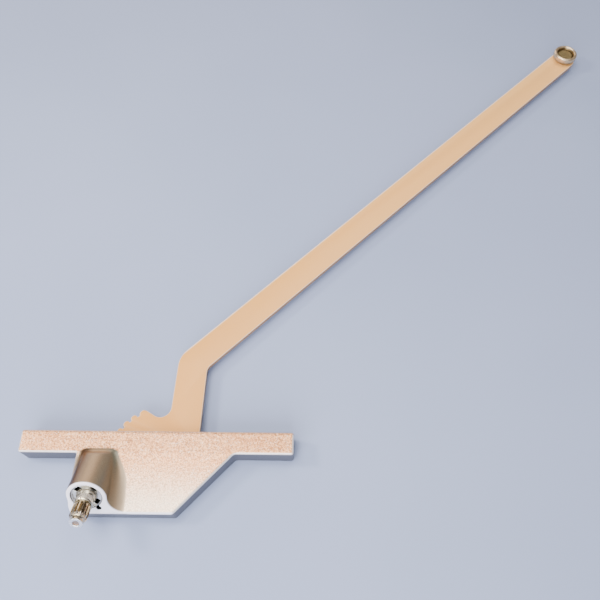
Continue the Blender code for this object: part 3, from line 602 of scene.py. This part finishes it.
def make_arm():
    holes = [circle((0, 0), HUB_HOLE_RADIUS, 64), circle(ROLLER, STUD_HOLE_RADIUS, 40)]
    bm = plate_bmesh("painted_arm", [arm_outline(), *holes], ARM_LOW, ARM_HIGH, ARM_EDGE)
    first = FIRST_VALLEY - math.radians(9)
    last = FIRST_VALLEY + TOOTH_PITCH * VALLEYS + math.radians(2)
    for vertex in bm.verts:
        x, y, z = (c / MM for c in vertex.co)
        in_row = ROOT_RADIUS - 0.5 < math.hypot(x, y) < TIP_RADIUS + 1
        if in_row and first < math.atan2(y, x) % math.tau < last:
            turn = -tooth_lean() * (z - ARM_MIDDLE) / PITCH_RADIUS
            vertex.co = Matrix.Rotation(turn, 4, "Z") @ vertex.co
    return finish_bmesh(bm, "painted_arm", degrees=50)


# ---------------------------------------------------------------- crank shaft

SHAFT_SIDES = 168
SPLINES = 14
WORM_ROOT = 2.3
WORM_CREST = 4.2
WORM_START = -4.6
WORM_END = 5.7
THREAD_BASE = 1.7
THREAD_CREST = 0.5


def loft(name, rings, place):
    """A closed skin over rings of points, with a face at each end."""
    bm = bmesh.new()
    rows = [[bm.verts.new(Vector(point) * MM) for point in ring] for ring in rings]
    count = len(rows[0])
    for lower, upper in zip(rows, rows[1:]):
        for i in range(count):
            after = (i + 1) % count
            bm.faces.new((lower[i], lower[after], upper[after], upper[i]))
    bm.faces.new(rows[0][::-1])
    bm.faces.new(rows[-1])
    return finish_bmesh(bm, name, place, 32)


def shaft_ring(along, radius_at):
    ring = []
    for side in range(SHAFT_SIDES):
        angle = math.tau * side / SHAFT_SIDES
        point = polar(radius_at(angle), angle)
        ring.append((point.x, point.y, along))
    return ring


def plain_rings(*steps):
    """Round rings from distance and radius pairs."""
    return [shaft_ring(along, lambda angle, r=radius: r) for along, radius in steps]


def thread_phase():
    """Phase that puts the thread in the tooth valley beside the pivot."""
    nearest = round((math.pi - FIRST_VALLEY) / TOOTH_PITCH)
    offset = PITCH_RADIUS * math.sin(FIRST_VALLEY + nearest * TOOTH_PITCH)
    return thread_wave() * -COS * offset - SIN * offset / WORM_PITCH_RADIUS


def worm_radius(angle, along):
    """Radius of the worm at this angle round the shaft and distance along it."""
    phase = (thread_wave() * along - angle - thread_phase() + math.pi) % math.tau - math.pi
    width = 2 * abs(phase) / thread_wave()
    height = min(max((THREAD_BASE - width) / (THREAD_BASE - THREAD_CREST), 0), 1)
    run_out = 1.0
    ends = max(min((along - WORM_START) / run_out, (WORM_END - along) / run_out, 1), 0)
    return WORM_ROOT + (WORM_CREST - WORM_ROOT) * height * ends


def worm_rings():
    steps = 72
    rings = []
    for step in range(steps + 1):
        along = WORM_START + (WORM_END - WORM_START) * step / steps
        rings.append(shaft_ring(along, lambda angle, t=along: worm_radius(angle, t)))
    return rings


def spline_radius(angle, crest, root):
    """Teeth with flat crests and sloping flanks."""
    crest_half, flank = 0.13, 0.14  # shares of a tooth's pitch
    turn = (angle * SPLINES / math.tau) % 1
    height = min(max((abs(turn - 0.5) - crest_half) / flank, 0), 1)
    return crest + (root - crest) * height


def spline_rings():
    """The splines rise from the plain shaft, run at full height and end in a chamfer."""
    steps = (
        (32.75, 3.62, 3.6),
        (33.1, 3.9, 3.42),
        (33.6, 4.2, 3.36),
        (33.9, 4.25, 3.36),
        (38.6, 4.25, 3.38),
        (39.2, 4.18, 3.4),
        (40.5, 3.5, 3.42),
    )
    rings = []
    for along, crest, root in steps:
        rings.append(shaft_ring(along, lambda angle, c=crest, r=root: spline_radius(angle, c, r)))
    return rings


def make_shaft():
    """Rings from the rear journal past the worm, flange and splines to the tip and its centre hole."""
    rings = plain_rings((-8.2, 1.2), (-7.9, 1.6), (-4.9, 1.6))
    rings += worm_rings()
    rings += plain_rings((6.1, 3.3), (13.7, 3.3), (13.8, 5.5), (13.9, 5.6), (15.1, 5.6), (15.2, 5.5))
    rings += plain_rings((15.3, 3.6), (32.5, 3.6))
    rings += spline_rings()
    rings += plain_rings((40.6, 3.3), (40.8, 3.2), (42.45, 3.15), (42.6, 3.18), (42.82, 3.1), (42.88, 2.95))
    rings += plain_rings((42.88, 1.75), (42.8, 1.62), (42.35, 1.5), (42.3, 1.2))
    return loft("crank_stub", rings, SHAFT_PLACE)


def plug_field(p):
    """Bearing plug with spanner notches, in shaft axes: across, up and along."""
    radial = np.hypot(p[0], p[1])
    rim = round_max(radial - PLUG_RADIUS, slab(p[2], PLUG_LOW, PLUG_RIM_END), 0.35)
    hub = round_max(radial - PLUG_HUB_RADIUS, slab(p[2], PLUG_LOW, PLUG_HUB_END), 0.3)
    solid = np.minimum(rim, hub)
    for index in range(NOTCHES):
        angle = math.tau * (index + 0.5) / NOTCHES
        out = p[0] * math.cos(angle) + p[1] * math.sin(angle)
        side = -p[0] * math.sin(angle) + p[1] * math.cos(angle)
        notch = np.maximum(np.abs(side) - NOTCH_HALF_WIDTH, PLUG_HUB_RADIUS - out)
        solid = carve(solid, np.maximum(notch, NOTCH_FLOOR - p[2]), 0.2)
    return carve(solid, radial - PLUG_BORE, 0.2)


def make_plug():
    half = 7.7
    low = (-half, -half, 16.6)
    high = (half, half, 26.9)
    return skin_mesh("spanner_plug", plug_field, low, high, 0.17, 0.12, SHAFT_PLACE)


def make_snap_ring():
    inner, outer, low, high = 6.95, 7.42, 26.15, 26.95
    corners = [(inner, high, 0.15), (outer, high, 0.2), (outer, low, 0.15), (inner, low, 0.15)]
    return lathe("snap_ring", corners, SHAFT_PLACE)


def make_sleeve():
    """Collar round the shaft, on a cone that reaches down to the plug."""
    corners = [
        (3.7, 32.4, 0.05),
        (4.3, 32.4, 0.3),
        (4.6, 31.9, 0.25),
        (4.6, 30.7, 0.3),
        (4.0, 30.2, 0.3),
        (4.25, 28.6, 0.6),
        (5.0, 26.9, 0.2),
        (3.7, 26.9, 0.05),
    ]
    return lathe("shaft_sleeve", corners, SHAFT_PLACE)


# ---------------------------------------------------------------- roller and screws


def make_roller():
    corners = [
        (5.45, 12.9, 0.2),
        (6.2, 14.2, 0.6),
        (7.05, 14.85, 0.8),
        (8.05, 13.9, 0.8),
        (8.1, 11.3, 0.9),
        (7.3, 9.9, 0.7),
        (6.2, 9.8, 0.2),
        (2.8, 9.8, 0.1),
        (2.8, 10.9, 0.1),
        (5.45, 10.9, 0.1),
    ]
    return lathe("ringed_roller", corners, ROLLER_PLACE, 128)


def make_roller_stud():
    corners = [
        (0, 12.57, 0),
        (4.7, 12.6, 0.1),
        (4.98, 12.42, 0.12),
        (4.98, 11.2, 0.1),
        (2.5, 11.2, 0.1),
        (2.5, 4.9, 0.1),
        (3.7, 4.9, 0.1),
        (3.6, 4.2, 0.3),
        (2.6, 3.9, 0.8),
        (0, 3.9, 0),
    ]
    return lathe("riveted_stud", corners, ROLLER_PLACE, ring=False)


SCREW_LOW = 0.15
SCREW_HIGH = 7.4
SCREW_HEAD_RADIUS = 2.4
SCREW_SHANK_RADIUS = 1.3
THREAD_DEPTH = 0.12
THREAD_PITCH = 0.8


def screw_field(p):
    """Countersunk screw with a cross recess. Its head is at the low end."""
    radial = np.hypot(p[0], p[1])
    cone = (radial - SCREW_HEAD_RADIUS + (p[2] - 0.4)) / math.sqrt(2)
    head = np.maximum(radial - SCREW_HEAD_RADIUS, cone)
    thread = np.cos(math.tau * p[2] / THREAD_PITCH - np.arctan2(p[1], p[0]))
    shank = radial - SCREW_SHANK_RADIUS - THREAD_DEPTH * thread
    point = (radial + 0.8 * (p[2] - 7.3)) / 1.3
    solid = np.maximum(np.minimum(head, np.maximum(shank, point)), slab(p[2], SCREW_LOW, SCREW_HIGH))
    arm = np.minimum(np.abs(p[0]), np.abs(p[1]))
    recess = np.maximum(arm - 0.3, radial + 0.9 * (p[2] - SCREW_LOW) - 1.5)
    return carve(solid, recess, 0.06)


def make_screws():
    """The base screws, each turned to another angle."""
    step = 0.14
    points, quads = skin_of(screw_field, (-2.6, -2.6, -0.1), (2.6, 2.6, 7.6), step)
    points = settle(screw_field, points, 0.1)
    screws = []
    for index, (x, y) in enumerate(SCREW_PLACES, 1):
        turn = 0.7 * index
        spin = np.array(Matrix.Rotation(turn, 3, "Z"))
        screw = mesh_object(f"cross_screw_{index}", points @ spin.T + (x, y, 0), quads)
        screws.append(smooth(screw, 40))
    return screws


# ---------------------------------------------------------------- materials


class Nodes:
    """Short calls that add nodes to a material. A value is a number, or another node's output."""

    def __init__(self, name):
        self.material = bpy.data.materials.new(name)
        self.material.use_nodes = True
        self.tree = self.material.node_tree
        self.shader = self.tree.nodes["Principled BSDF"]
        self.place = self.add("ShaderNodeTexCoord").outputs["Object"]

    def fill(self, socket, value):
        if isinstance(value, bpy.types.NodeSocket):
            self.tree.links.new(value, socket)
        else:
            socket.default_value = value

    def add(self, kind, inputs=(), **settings):
        node = self.tree.nodes.new(kind)
        for key, value in settings.items():
            setattr(node, key, value)
        for key, value in dict(inputs).items():
            self.fill(node.inputs[key], value)
        return node

    def noise(self, scale, detail=3.0, rough=0.55, where=None):
        inputs = {"Vector": where or self.place, "Scale": scale, "Detail": detail, "Roughness": rough}
        return self.add("ShaderNodeTexNoise", inputs).outputs["Fac"]

    def cells(self, scale):
        """A random value for each cell."""
        colour = self.add("ShaderNodeTexVoronoi", {"Vector": self.place, "Scale": scale}).outputs["Color"]
        return self.add("ShaderNodeSeparateColor", {"Color": colour}).outputs["Red"]

    def along_shaft(self, scale):
        """Object coordinates, turned to the shaft's axes and then scaled."""
        turn = (TILT - math.radians(90), 0, 0)
        turned = self.add("ShaderNodeMapping", {"Vector": self.place, "Rotation": turn})
        scaled = self.add("ShaderNodeMapping", {"Vector": turned.outputs["Vector"], "Scale": scale})
        return scaled.outputs["Vector"]

    def split(self):
        parts = self.add("ShaderNodeSeparateXYZ", {"Vector": self.place})
        return [parts.outputs[axis] for axis in "XYZ"]

    def shaft_axes(self, across_shift=0.0, up_shift=0.0):
        """Distance along the shaft's axis, and distance from it or from an axis beside it, in metres."""
        x, y, z = self.split()
        lift = self.plus(z, -SHAFT_Z * MM)
        along = self.plus(self.times(y, -COS), self.times(lift, SIN))
        up = self.plus(self.times(y, SIN), self.times(lift, COS))
        across = self.plus(x, -(SHAFT_X + across_shift) * MM)
        return along, self.length(across, self.plus(up, -up_shift * MM))

    def length(self, a, b):
        flat = self.add("ShaderNodeCombineXYZ", {"X": a, "Y": b}).outputs["Vector"]
        return self.add("ShaderNodeVectorMath", {0: flat}, operation="LENGTH").outputs["Value"]

    def ramp(self, value, *stops):
        node = self.add("ShaderNodeValToRGB", {"Fac": value})
        elements = node.color_ramp.elements
        while len(elements) < len(stops):
            elements.new(0.5)
        for element, (position, colour) in zip(elements, stops):
            element.position = position
            element.color = (*colour, 1)
        return node.outputs["Color"]

    def span(self, value, first, last, at=(0.3, 0.7)):
        """Goes from first to last as the value crosses the range at, which suits a noise."""
        inputs = {"Value": value, "From Min": at[0], "From Max": at[1], "To Min": first, "To Max": last}
        return self.add("ShaderNodeMapRange", inputs).outputs["Result"]

    def rise(self, value, start, end, share=1.0):
        """Goes from 0 to share as a distance in metres crosses start to end, in millimetres."""
        return self.span(value, 0, share, (start * MM, end * MM))

    def fall(self, value, start, end, share=1.0, rest=0.0):
        """Goes from share to rest as a distance in metres crosses start to end, in millimetres."""
        return self.span(value, share, rest, (start * MM, end * MM))

    def mix(self, share, a, b, blend="MIX"):
        node = self.add("ShaderNodeMix", data_type="RGBA", blend_type=blend)
        shown = {socket.name: socket for socket in node.inputs if socket.enabled}
        self.fill(shown["Factor"], share)
        for key, value in (("A", a), ("B", b)):
            self.fill(shown[key], (*value, 1) if isinstance(value, tuple) else value)
        return [socket for socket in node.outputs if socket.enabled][0]

    def calc(self, operation, a, b):
        node = self.add("ShaderNodeMath", {0: a, 1: b}, operation=operation)
        return node.outputs[0]

    def plus(self, a, b):
        return self.calc("ADD", a, b)

    def minus(self, a, b):
        return self.calc("SUBTRACT", a, b)

    def times(self, a, b):
        return self.calc("MULTIPLY", a, b)

    def bump(self, height, strength, distance):
        """A normal from a height. The distance is in millimetres."""
        inputs = {"Height": height, "Strength": strength, "Distance": distance * MM}
        return self.add("ShaderNodeBump", inputs).outputs["Normal"]

    def set_shader(self, **values):
        for key, value in values.items():
            self.fill(self.shader.inputs[key.replace("_", " ")], value)
        return self.material


FACE_BORDER = (BOSS_END - 0.7, BOSS_END - 0.2)  # where the boss's paint gives way to its front face, painted pale as a painted highlight


def paint_edge_highlights_and_wall_shade(n, colour, above, y):
    """Painted highlights: thin, light paint on the rounded top edges. Painted shade: dark grey on the walls
    below them.
    """
    # Painted highlight: a light line along the rounded top edges.
    edge = n.times(n.fall(above, -0.12, -0.03), n.fall(y, 10.0, 10.4, rest=0.3))
    colour = n.mix(n.times(edge, 0.85), colour, (1.0, 0.94, 0.90))
    # Painted shade: the walls are painted dark blue-grey, standing in for their shade and for the floor's
    # reflection.
    wall = n.fall(above, -1.15, -0.8)
    return n.mix(wall, colour, n.mix(0.05, (0.048, 0.047, 0.063), colour))


def paint_front_highlight_and_hole_shade(n, colour):
    """The boss's front face, painted pale and cool as a painted highlight, and painted shade in the bore
    behind it and in the lock hole.
    """
    along, radial = n.shaft_axes()
    # Painted highlight: the front face is painted pale and cool, standing in for the front light that it
    # reflects.
    colour = n.mix(n.rise(along, *FACE_BORDER), colour, (0.97, 0.92, 1.0))
    # Painted shade: the bore's wall behind the face is painted dark.
    inside = n.rise(along, BORE_FLOOR - 0.5, BORE_FLOOR)
    bore = n.times(n.fall(radial, BORE_RADIUS + 0.05, BORE_RADIUS + 0.15), inside)
    colour = n.mix(bore, colour, (0.20, 0.18, 0.15))
    # Painted shade: the lock hole is painted near black.
    beside = n.shaft_axes(*LOCK_HOLE)[1]
    hole = n.times(n.fall(beside, LOCK_HOLE_RADIUS, LOCK_HOLE_RADIUS + 0.1), inside)
    return n.mix(hole, colour, (0.01, 0.01, 0.01))


def paint_boss_shading(n, x, colour):
    """Painted light and shade on the boss: two darker bands of painted shade along it, a painted highlight
    on its left shoulder and a lighter painted skirt on its right.
    """
    across = n.plus(x, -SHAFT_X * MM)
    left = n.times(n.rise(across, -9.8, -8.2), n.fall(across, -5.6, -2.6))
    right = n.times(n.rise(across, 3.0, 7.0, 0.85), n.fall(across, 9.2, 12.2))
    # Painted shade: two darker bands along the boss's sides.
    colour = n.mix(left, colour, (0.24, 0.19, 0.15), "MULTIPLY")
    colour = n.mix(right, colour, (0.46, 0.70, 0.90), "MULTIPLY")
    # Painted light: the skirt on the right is painted lighter.
    colour = n.mix(n.rise(across, 10.5, 13.5, 0.55), colour, (0.46, 0.35, 0.24))
    # Painted highlight: a light stripe on the left shoulder.
    return n.mix(n.fall(across, -10.8, -9.6, 0.8), colour, (0.66, 0.54, 0.42))


def paint_roof_mottle_and_light(n, y, colour, flat, sparkle):
    """Soft patches and flakes on the flat roof, with painted light: paler towards the front, and a warmer,
    darker painted shade on the strip.
    """
    patch = n.span(n.noise(45, 2, 0.5), 0.0, 0.3)
    colour = n.mix(n.times(patch, flat), colour, (0.62, 0.34, 0.19))
    # Painted light: the roof is painted paler towards the front, and darker and warmer on the strip.
    colour = n.mix(n.times(n.fall(y, -27, -8, 0.35), flat), colour, (1.0, 0.85, 0.68))
    colour = n.mix(n.times(n.rise(y, -24, -4), flat), colour, (0.97, 0.66, 0.42), "MULTIPLY")
    return n.mix(n.times(sparkle, 0.5), colour, (1.0, 0.90, 0.78))


def housing_paint():
    """Champagne metallic paint: fine bright and dark flakes over a soft mottle."""
    n = Nodes("champagne_metallic_paint")
    mottle = n.noise(1500, 3, 0.6)
    x, y, z = n.split()
    roof = n.times(n.calc("MINIMUM", y, 0), ROOF_SLOPE)
    above = n.minus(n.plus(z, -STRIP_HEIGHT * MM), roof)
    flat = n.fall(above, 0.02, 0.08)
    # Painted shade: above the roof, the boss gets a darker brown than the roof, standing in for the dark
    # surroundings it reflects.
    boss_shade = n.ramp(mottle, (0.3, (0.28, 0.185, 0.105)), (0.7, (0.345, 0.235, 0.14)))
    stops = ((0.40, (0.34, 0.20, 0.112)), (0.5, (0.76, 0.47, 0.285)), (0.60, (1.0, 0.84, 0.66)))
    sparkle = n.times(n.span(n.cells(2300), 0, 1, (0.86, 0.97)), flat)
    colour = n.mix(flat, paint_boss_shading(n, x, boss_shade), n.ramp(mottle, *stops))
    colour = paint_roof_mottle_and_light(n, y, colour, flat, sparkle)
    colour = paint_front_highlight_and_hole_shade(n, paint_edge_highlights_and_wall_shade(n, colour, above, y))
    grain = n.times(n.noise(1300, 3, 0.6), n.plus(flat, 0.12))
    return n.set_shader(
        Base_Color=colour,
        Metallic=n.fall(n.shaft_axes()[0], *FACE_BORDER, 0.45),
        Roughness=n.span(mottle, 0.32, 0.44),
        Normal=n.bump(n.plus(grain, n.times(sparkle, 0.25)), 0.35, 0.1),
        Coat_Weight=0.15,
        Coat_Roughness=0.3,
    )


def arm_paint():
    """Tan satin paint with painted light: darker near the hub and paler towards the roller, painted
    highlights on the upper edges and painted shade on the sides.
    """
    n = Nodes("tan_satin_paint")
    soft = n.noise(60, 3, 0.5)
    fine = n.noise(2600, 2, 0.6)
    x, y, z = n.split()
    # Painted light: darker near the hub and paler towards the roller, for how the light falls along the arm.
    colour = n.mix(n.rise(y, 0, 300), (0.77, 0.315, 0.036), (1.0, 0.52, 0.16))
    colour = n.mix(n.span(soft, 0.0, 0.2), colour, (0.80, 0.38, 0.14))
    colour = n.mix(n.span(fine, 0.0, 0.12), colour, (0.98, 0.62, 0.35))
    # Painted highlight: a light line along the long bar's upper left edge.
    colour = n.mix(bar_edge_highlight(n, x, y), colour, (1.0, 0.78, 0.58))
    # Painted highlight: the rounded upper edges are painted light.
    edge = n.fall(z, ARM_HIGH - 0.04, ARM_HIGH - 0.005)
    colour = n.mix(n.times(edge, 0.85), colour, (1.0, 0.80, 0.61))
    # Painted shade: the sides below the edges are painted dark brown.
    side = n.times(n.fall(z, ARM_HIGH - 0.5, ARM_HIGH - 0.3), n.rise(z, ARM_LOW + 0.02, ARM_LOW + 0.2))
    colour = n.mix(side, colour, (0.42, 0.20, 0.07))
    return n.set_shader(
        Base_Color=colour,
        Roughness=n.span(soft, 0.4, 0.5),
        Normal=n.bump(n.noise(1500, 3, 0.6), 0.12, 0.06),
        Coat_Weight=0.15,
        Coat_Roughness=0.25,
    )


def bar_edge_highlight(n, x, y):
    """Painted highlight along the long bar's upper left edge, from the elbow on."""
    bar = (Vector(ROLLER) - ELBOW).normalized()
    across = n.minus(n.times(y, bar.x), n.times(x, bar.y))
    across = n.minus(across, (ELBOW.y * bar.x - ELBOW.x * bar.y) * MM)
    highlight_line = n.rise(across, ARM_WIDTH / 2 - 0.9, ARM_WIDTH / 2 - 0.5, 0.6)
    return n.times(highlight_line, n.rise(y, 50, 56))


BRIGHT_TONES = ((0.62, 0.58, 0.50), (0.80, 0.78, 0.73), (0.9, 0.89, 0.87))
GOLD_TONES = ((0.46, 0.38, 0.24), (0.65, 0.55, 0.39), (0.81, 0.73, 0.58))
IVORY_TONES = ((0.44, 0.41, 0.33), (0.60, 0.57, 0.48), (0.72, 0.70, 0.62))


def zinc(name, warm=0.35, rough=(0.14, 0.3), tones=BRIGHT_TONES, streak=(900, 900, 60), marks=None):
    """Zinc-plated steel with faint turning marks and a little yellow passivation."""
    n = Nodes(name)
    stain = n.noise(420, 4, 0.6)
    streaks = n.noise(1, 3, 0.7, n.along_shaft(streak))
    colour = n.ramp(stain, *zip((0.3, 0.55, 0.8), tones))
    colour = n.mix(n.span(streaks, 0.0, warm), colour, (0.70, 0.52, 0.28))
    # The marks paint painted shade and painted highlights as well as marks.
    if marks:
        colour = marks(n, colour)
    normal = n.bump(streaks, 0.15, 0.05)
    return n.set_shader(Base_Color=colour, Metallic=1.0, Roughness=n.span(stain, *rough), Normal=normal)


def stub_marks_and_shading(n, colour):
    """Painted shade in the grooves between the splines, a painted highlight on the chamfer, a pale end face
    as a painted highlight, and painted shade in its centre hole.
    """
    along, radial = n.shaft_axes()
    length = n.times(n.rise(along, 32.6, 33.0), n.fall(along, 38.8, 40.0))
    # Painted shade: the grooves between the splines are painted dark.
    groove_shade = n.times(n.fall(radial, 3.4, 4.1), length)
    colour = n.mix(n.times(groove_shade, 0.9), colour, (0.105, 0.07, 0.032))
    # Painted highlight: the chamfer at the splines' end is painted bright.
    chamfer = n.times(n.rise(along, 38.6, 39.2), n.fall(along, 40.0, 40.5))
    colour = n.mix(n.times(chamfer, 0.8), colour, (0.95, 0.86, 0.72))
    # Painted highlight: the end face is painted pale.
    colour = n.mix(n.rise(along, 42.5, 42.7), colour, (0.98, 0.95, 0.92))
    # Painted shade: the centre hole is painted darker.
    recess = n.times(n.fall(radial, 1.55, 1.65), n.rise(along, 41.0, 41.2))
    return n.mix(recess, colour, (0.46, 0.33, 0.24))


def plug_marks_and_shading(n, colour):
    """A darker hub, and painted shade on the notches and everything below the rim's face."""
    along, radial = n.shaft_axes()
    colour = n.mix(n.fall(radial, PLUG_HUB_RADIUS, PLUG_HUB_RADIUS + 0.3), colour, (0.42, 0.39, 0.32))
    # Painted shade: the notches and everything below the rim's face are painted dark.
    return n.mix(n.fall(along, PLUG_RIM_END - 0.9, PLUG_RIM_END - 0.4), colour, (0.035, 0.03, 0.015))


def dull_plate():
    n = Nodes("dull_zinc_plate")
    grime = n.noise(120, 5, 0.65)
    colour = n.ramp(n.cells(180), (0.0, (0.47, 0.47, 0.46)), (1.0, (0.66, 0.66, 0.64)))
    colour = n.mix(n.span(grime, 0.0, 0.4), colour, (0.40, 0.38, 0.34))
    normal = n.bump(n.noise(900, 3, 0.6), 0.15, 0.05)
    return n.set_shader(Base_Color=colour, Metallic=0.9, Roughness=n.span(grime, 0.32, 0.5), Normal=normal)


def bronze():
    n = Nodes("oiled_bronze")
    pores = n.noise(2500, 4, 0.7)
    colour = n.ramp(pores, (0.3, (0.26, 0.15, 0.07)), (0.6, (0.52, 0.34, 0.18)))
    normal = n.bump(pores, 0.2, 0.05)
    return n.set_shader(Base_Color=colour, Metallic=0.9, Roughness=n.span(pores, 0.35, 0.55), Normal=normal)


def acetal():
    n = Nodes("natural_acetal")
    cloud = n.noise(300, 2, 0.5)
    colour = n.ramp(cloud, (0.3, (0.74, 0.72, 0.66)), (0.7, (0.84, 0.83, 0.79)))
    normal = n.bump(cloud, 0.1, 0.05)
    return n.set_shader(Base_Color=colour, Roughness=n.span(cloud, 0.35, 0.5), Normal=normal)


def roller_metal():
    """Nickel-brass, polished on the rim, with painted shade in the recess and on the lower wall."""
    n = Nodes("nickel_brass")
    stain = n.noise(350, 4, 0.65)
    stops = ((0.3, (0.60, 0.43, 0.25)), (0.6, (0.76, 0.58, 0.38)), (0.85, (0.86, 0.71, 0.51)))
    x, y, z = n.split()
    radial = n.length(n.plus(x, -ROLLER[0] * MM), n.plus(y, -ROLLER[1] * MM))
    # Painted shade: the recess between the rim and the stud's head is painted dark.
    colour = n.mix(n.fall(radial, 5.85, 6.25), n.ramp(stain, *stops), (0.17, 0.11, 0.045))
    # Painted shade: the lower wall is painted dark brown and made less metallic.
    wall = n.fall(z, 11.2, 12.8)
    colour = n.mix(n.times(wall, 0.85), colour, (0.15, 0.105, 0.06))
    return n.set_shader(
        Base_Color=colour,
        Metallic=n.minus(0.85, n.times(wall, 0.65)),
        Roughness=n.span(stain, 0.3, 0.42),
        Normal=n.bump(n.noise(700, 3, 0.6), 0.1, 0.05),
    )


def stud_metal():
    """The stud's flat head: duller and more olive than the rim, with cloudy marks."""
    n = Nodes("dull_olive_brass")
    cloud = n.noise(650, 5, 0.7)
    stops = ((0.3, (0.22, 0.155, 0.065)), (0.55, (0.34, 0.25, 0.115)), (0.8, (0.46, 0.36, 0.19)))
    return n.set_shader(
        Base_Color=n.ramp(cloud, *stops),
        Metallic=0.75,
        Roughness=n.span(cloud, 0.38, 0.55),
        Normal=n.bump(cloud, 0.35, 0.08),
    )


def floor_paint():
    n = Nodes("pale_floor")
    colour = n.ramp(n.noise(6, 2, 0.5), (0.2, (0.30, 0.35, 0.52)), (0.8, (0.34, 0.39, 0.57)))
    return n.set_shader(Base_Color=colour, Roughness=0.8)


def dress(obj, material):
    obj.data.materials.clear()
    obj.data.materials.append(material)


# ---------------------------------------------------------------- stage


def add_floor():
    """A floor just below the object, so that the two don't share a plane."""
    bm = bmesh.new()
    bmesh.ops.create_grid(bm, x_segments=2, y_segments=2, size=3.0)
    mesh = bpy.data.meshes.new("studio_floor")
    bm.to_mesh(mesh)
    bm.free()
    floor = link("studio_floor", mesh)
    floor.location = (0.07, 0.1, -0.0002)
    dress(floor, floor_paint())


def add_area(name, place, aim, size, power, colour):
    light = bpy.data.lights.new(name, "AREA")
    light.shape = "RECTANGLE"
    light.size, light.size_y = size
    light.energy = power
    light.color = colour
    obj = link(name, light)
    obj.location = place
    obj.rotation_euler = (Vector(aim) - Vector(place)).to_track_quat("-Z", "Y").to_euler()


def add_lights():
    housing = (-0.02, 0.0, 0.0)
    warm = (1.0, 0.97, 0.92)
    add_area("overhead_soft", (-0.10, -0.03, 0.75), housing, (0.5, 0.26), 6.5, (1.0, 0.98, 0.95))
    add_area("key_left", (-0.50, 0.12, 0.58), (0.05, 0.05, 0), (0.14, 0.14), 3.5, warm)
    add_area("arm_soft", (0.25, 0.40, 0.80), (0.15, 0.15, 0), (0.4, 0.4), 3.0, warm)
    add_area("front_soft", (-0.15, -0.60, 0.42), housing, (0.8, 0.7), 12.0, (0.88, 0.92, 1.0))
    add_area("back_warm", (-0.22, 0.85, 0.22), housing, (0.5, 0.3), 1.9, (1.0, 0.84, 0.66))
    world = bpy.data.worlds.new("studio")
    world.use_nodes = True
    background = world.node_tree.nodes["Background"]
    background.inputs["Color"].default_value = (0.5, 0.5, 0.54, 1)
    background.inputs["Strength"].default_value = 0.35
    bpy.context.scene.world = world


def add_camera():
    """The photograph's view: above the strip, looking down over the arm."""
    downward, roll, yaw = math.radians(61.70), math.radians(0.956), math.radians(-0.315)
    tilt = Matrix.Rotation(math.radians(90) - downward, 4, "X")
    turn = Matrix.Rotation(yaw, 4, "Z") @ tilt @ Matrix.Rotation(roll, 4, "Z")
    data = bpy.data.cameras.new("camera")
    data.sensor_width = 36
    data.lens = 36.639
    data.clip_start = 0.01
    camera = link("camera", data)
    camera.matrix_world = Matrix.Translation((0.07138, -0.07748, 0.32250)) @ turn
    bpy.context.scene.camera = camera


def put(obj, body, slot, material, *nodes):
    """Dresses a piece, rides it on a body and lets it stand for CAD nodes."""
    dress(obj, material)
    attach(obj, body)
    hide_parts(*nodes)


def main():
    bright = zinc("bright_zinc")
    stub = zinc("yellow_zinc", 0.2, (0.2, 0.32), GOLD_TONES, marks=stub_marks_and_shading)
    plug = zinc("plug_zinc", 0.1, (0.25, 0.4), marks=plug_marks_and_shading)
    ivory = zinc("ivory_zinc", 0.35, (0.2, 0.34), IVORY_TONES, (250, 250, 40))
    put(make_housing(), "operator_base", "cast_housing", housing_paint(), "housing")
    put(make_arm(), "swing_arm", "arm_paint", arm_paint(), "operator_arm")
    put(make_shaft(), "crank_shaft", "zinc_steel", stub, "worm_shaft")
    put(make_plug(), "operator_base", "zinc_steel", plug, "bearing_plug")
    put(make_snap_ring(), "operator_base", "zinc_steel", bright, "retaining_ring")
    put(make_sleeve(), "crank_shaft", "zinc_steel", ivory, "shaft_collar")
    put(make_roller(), "end_roller", "roller_metal", roller_metal(), "roller")
    put(make_roller_stud(), "swing_arm", "roller_metal", stud_metal(), "roller_stud")
    for index, screw in enumerate(make_screws(), 1):
        put(screw, "operator_base", "zinc_steel", bright, f"base_screw_{index}")
    carried_over = (
        (dull_plate(), ("base_plate",)),
        (bright, ("pivot_stud", "roller_washer")),
        (bronze(), ("lower_washer", "upper_washer", "pivot_bushing", "rear_bushing")),
        (acetal(), ("inner_thrust_washer", "outer_thrust_washer")),
    )
    for material, names in carried_over:
        for name in names:
            dress(NODES[name], material)
    add_floor()
    add_lights()
    add_camera()


main()
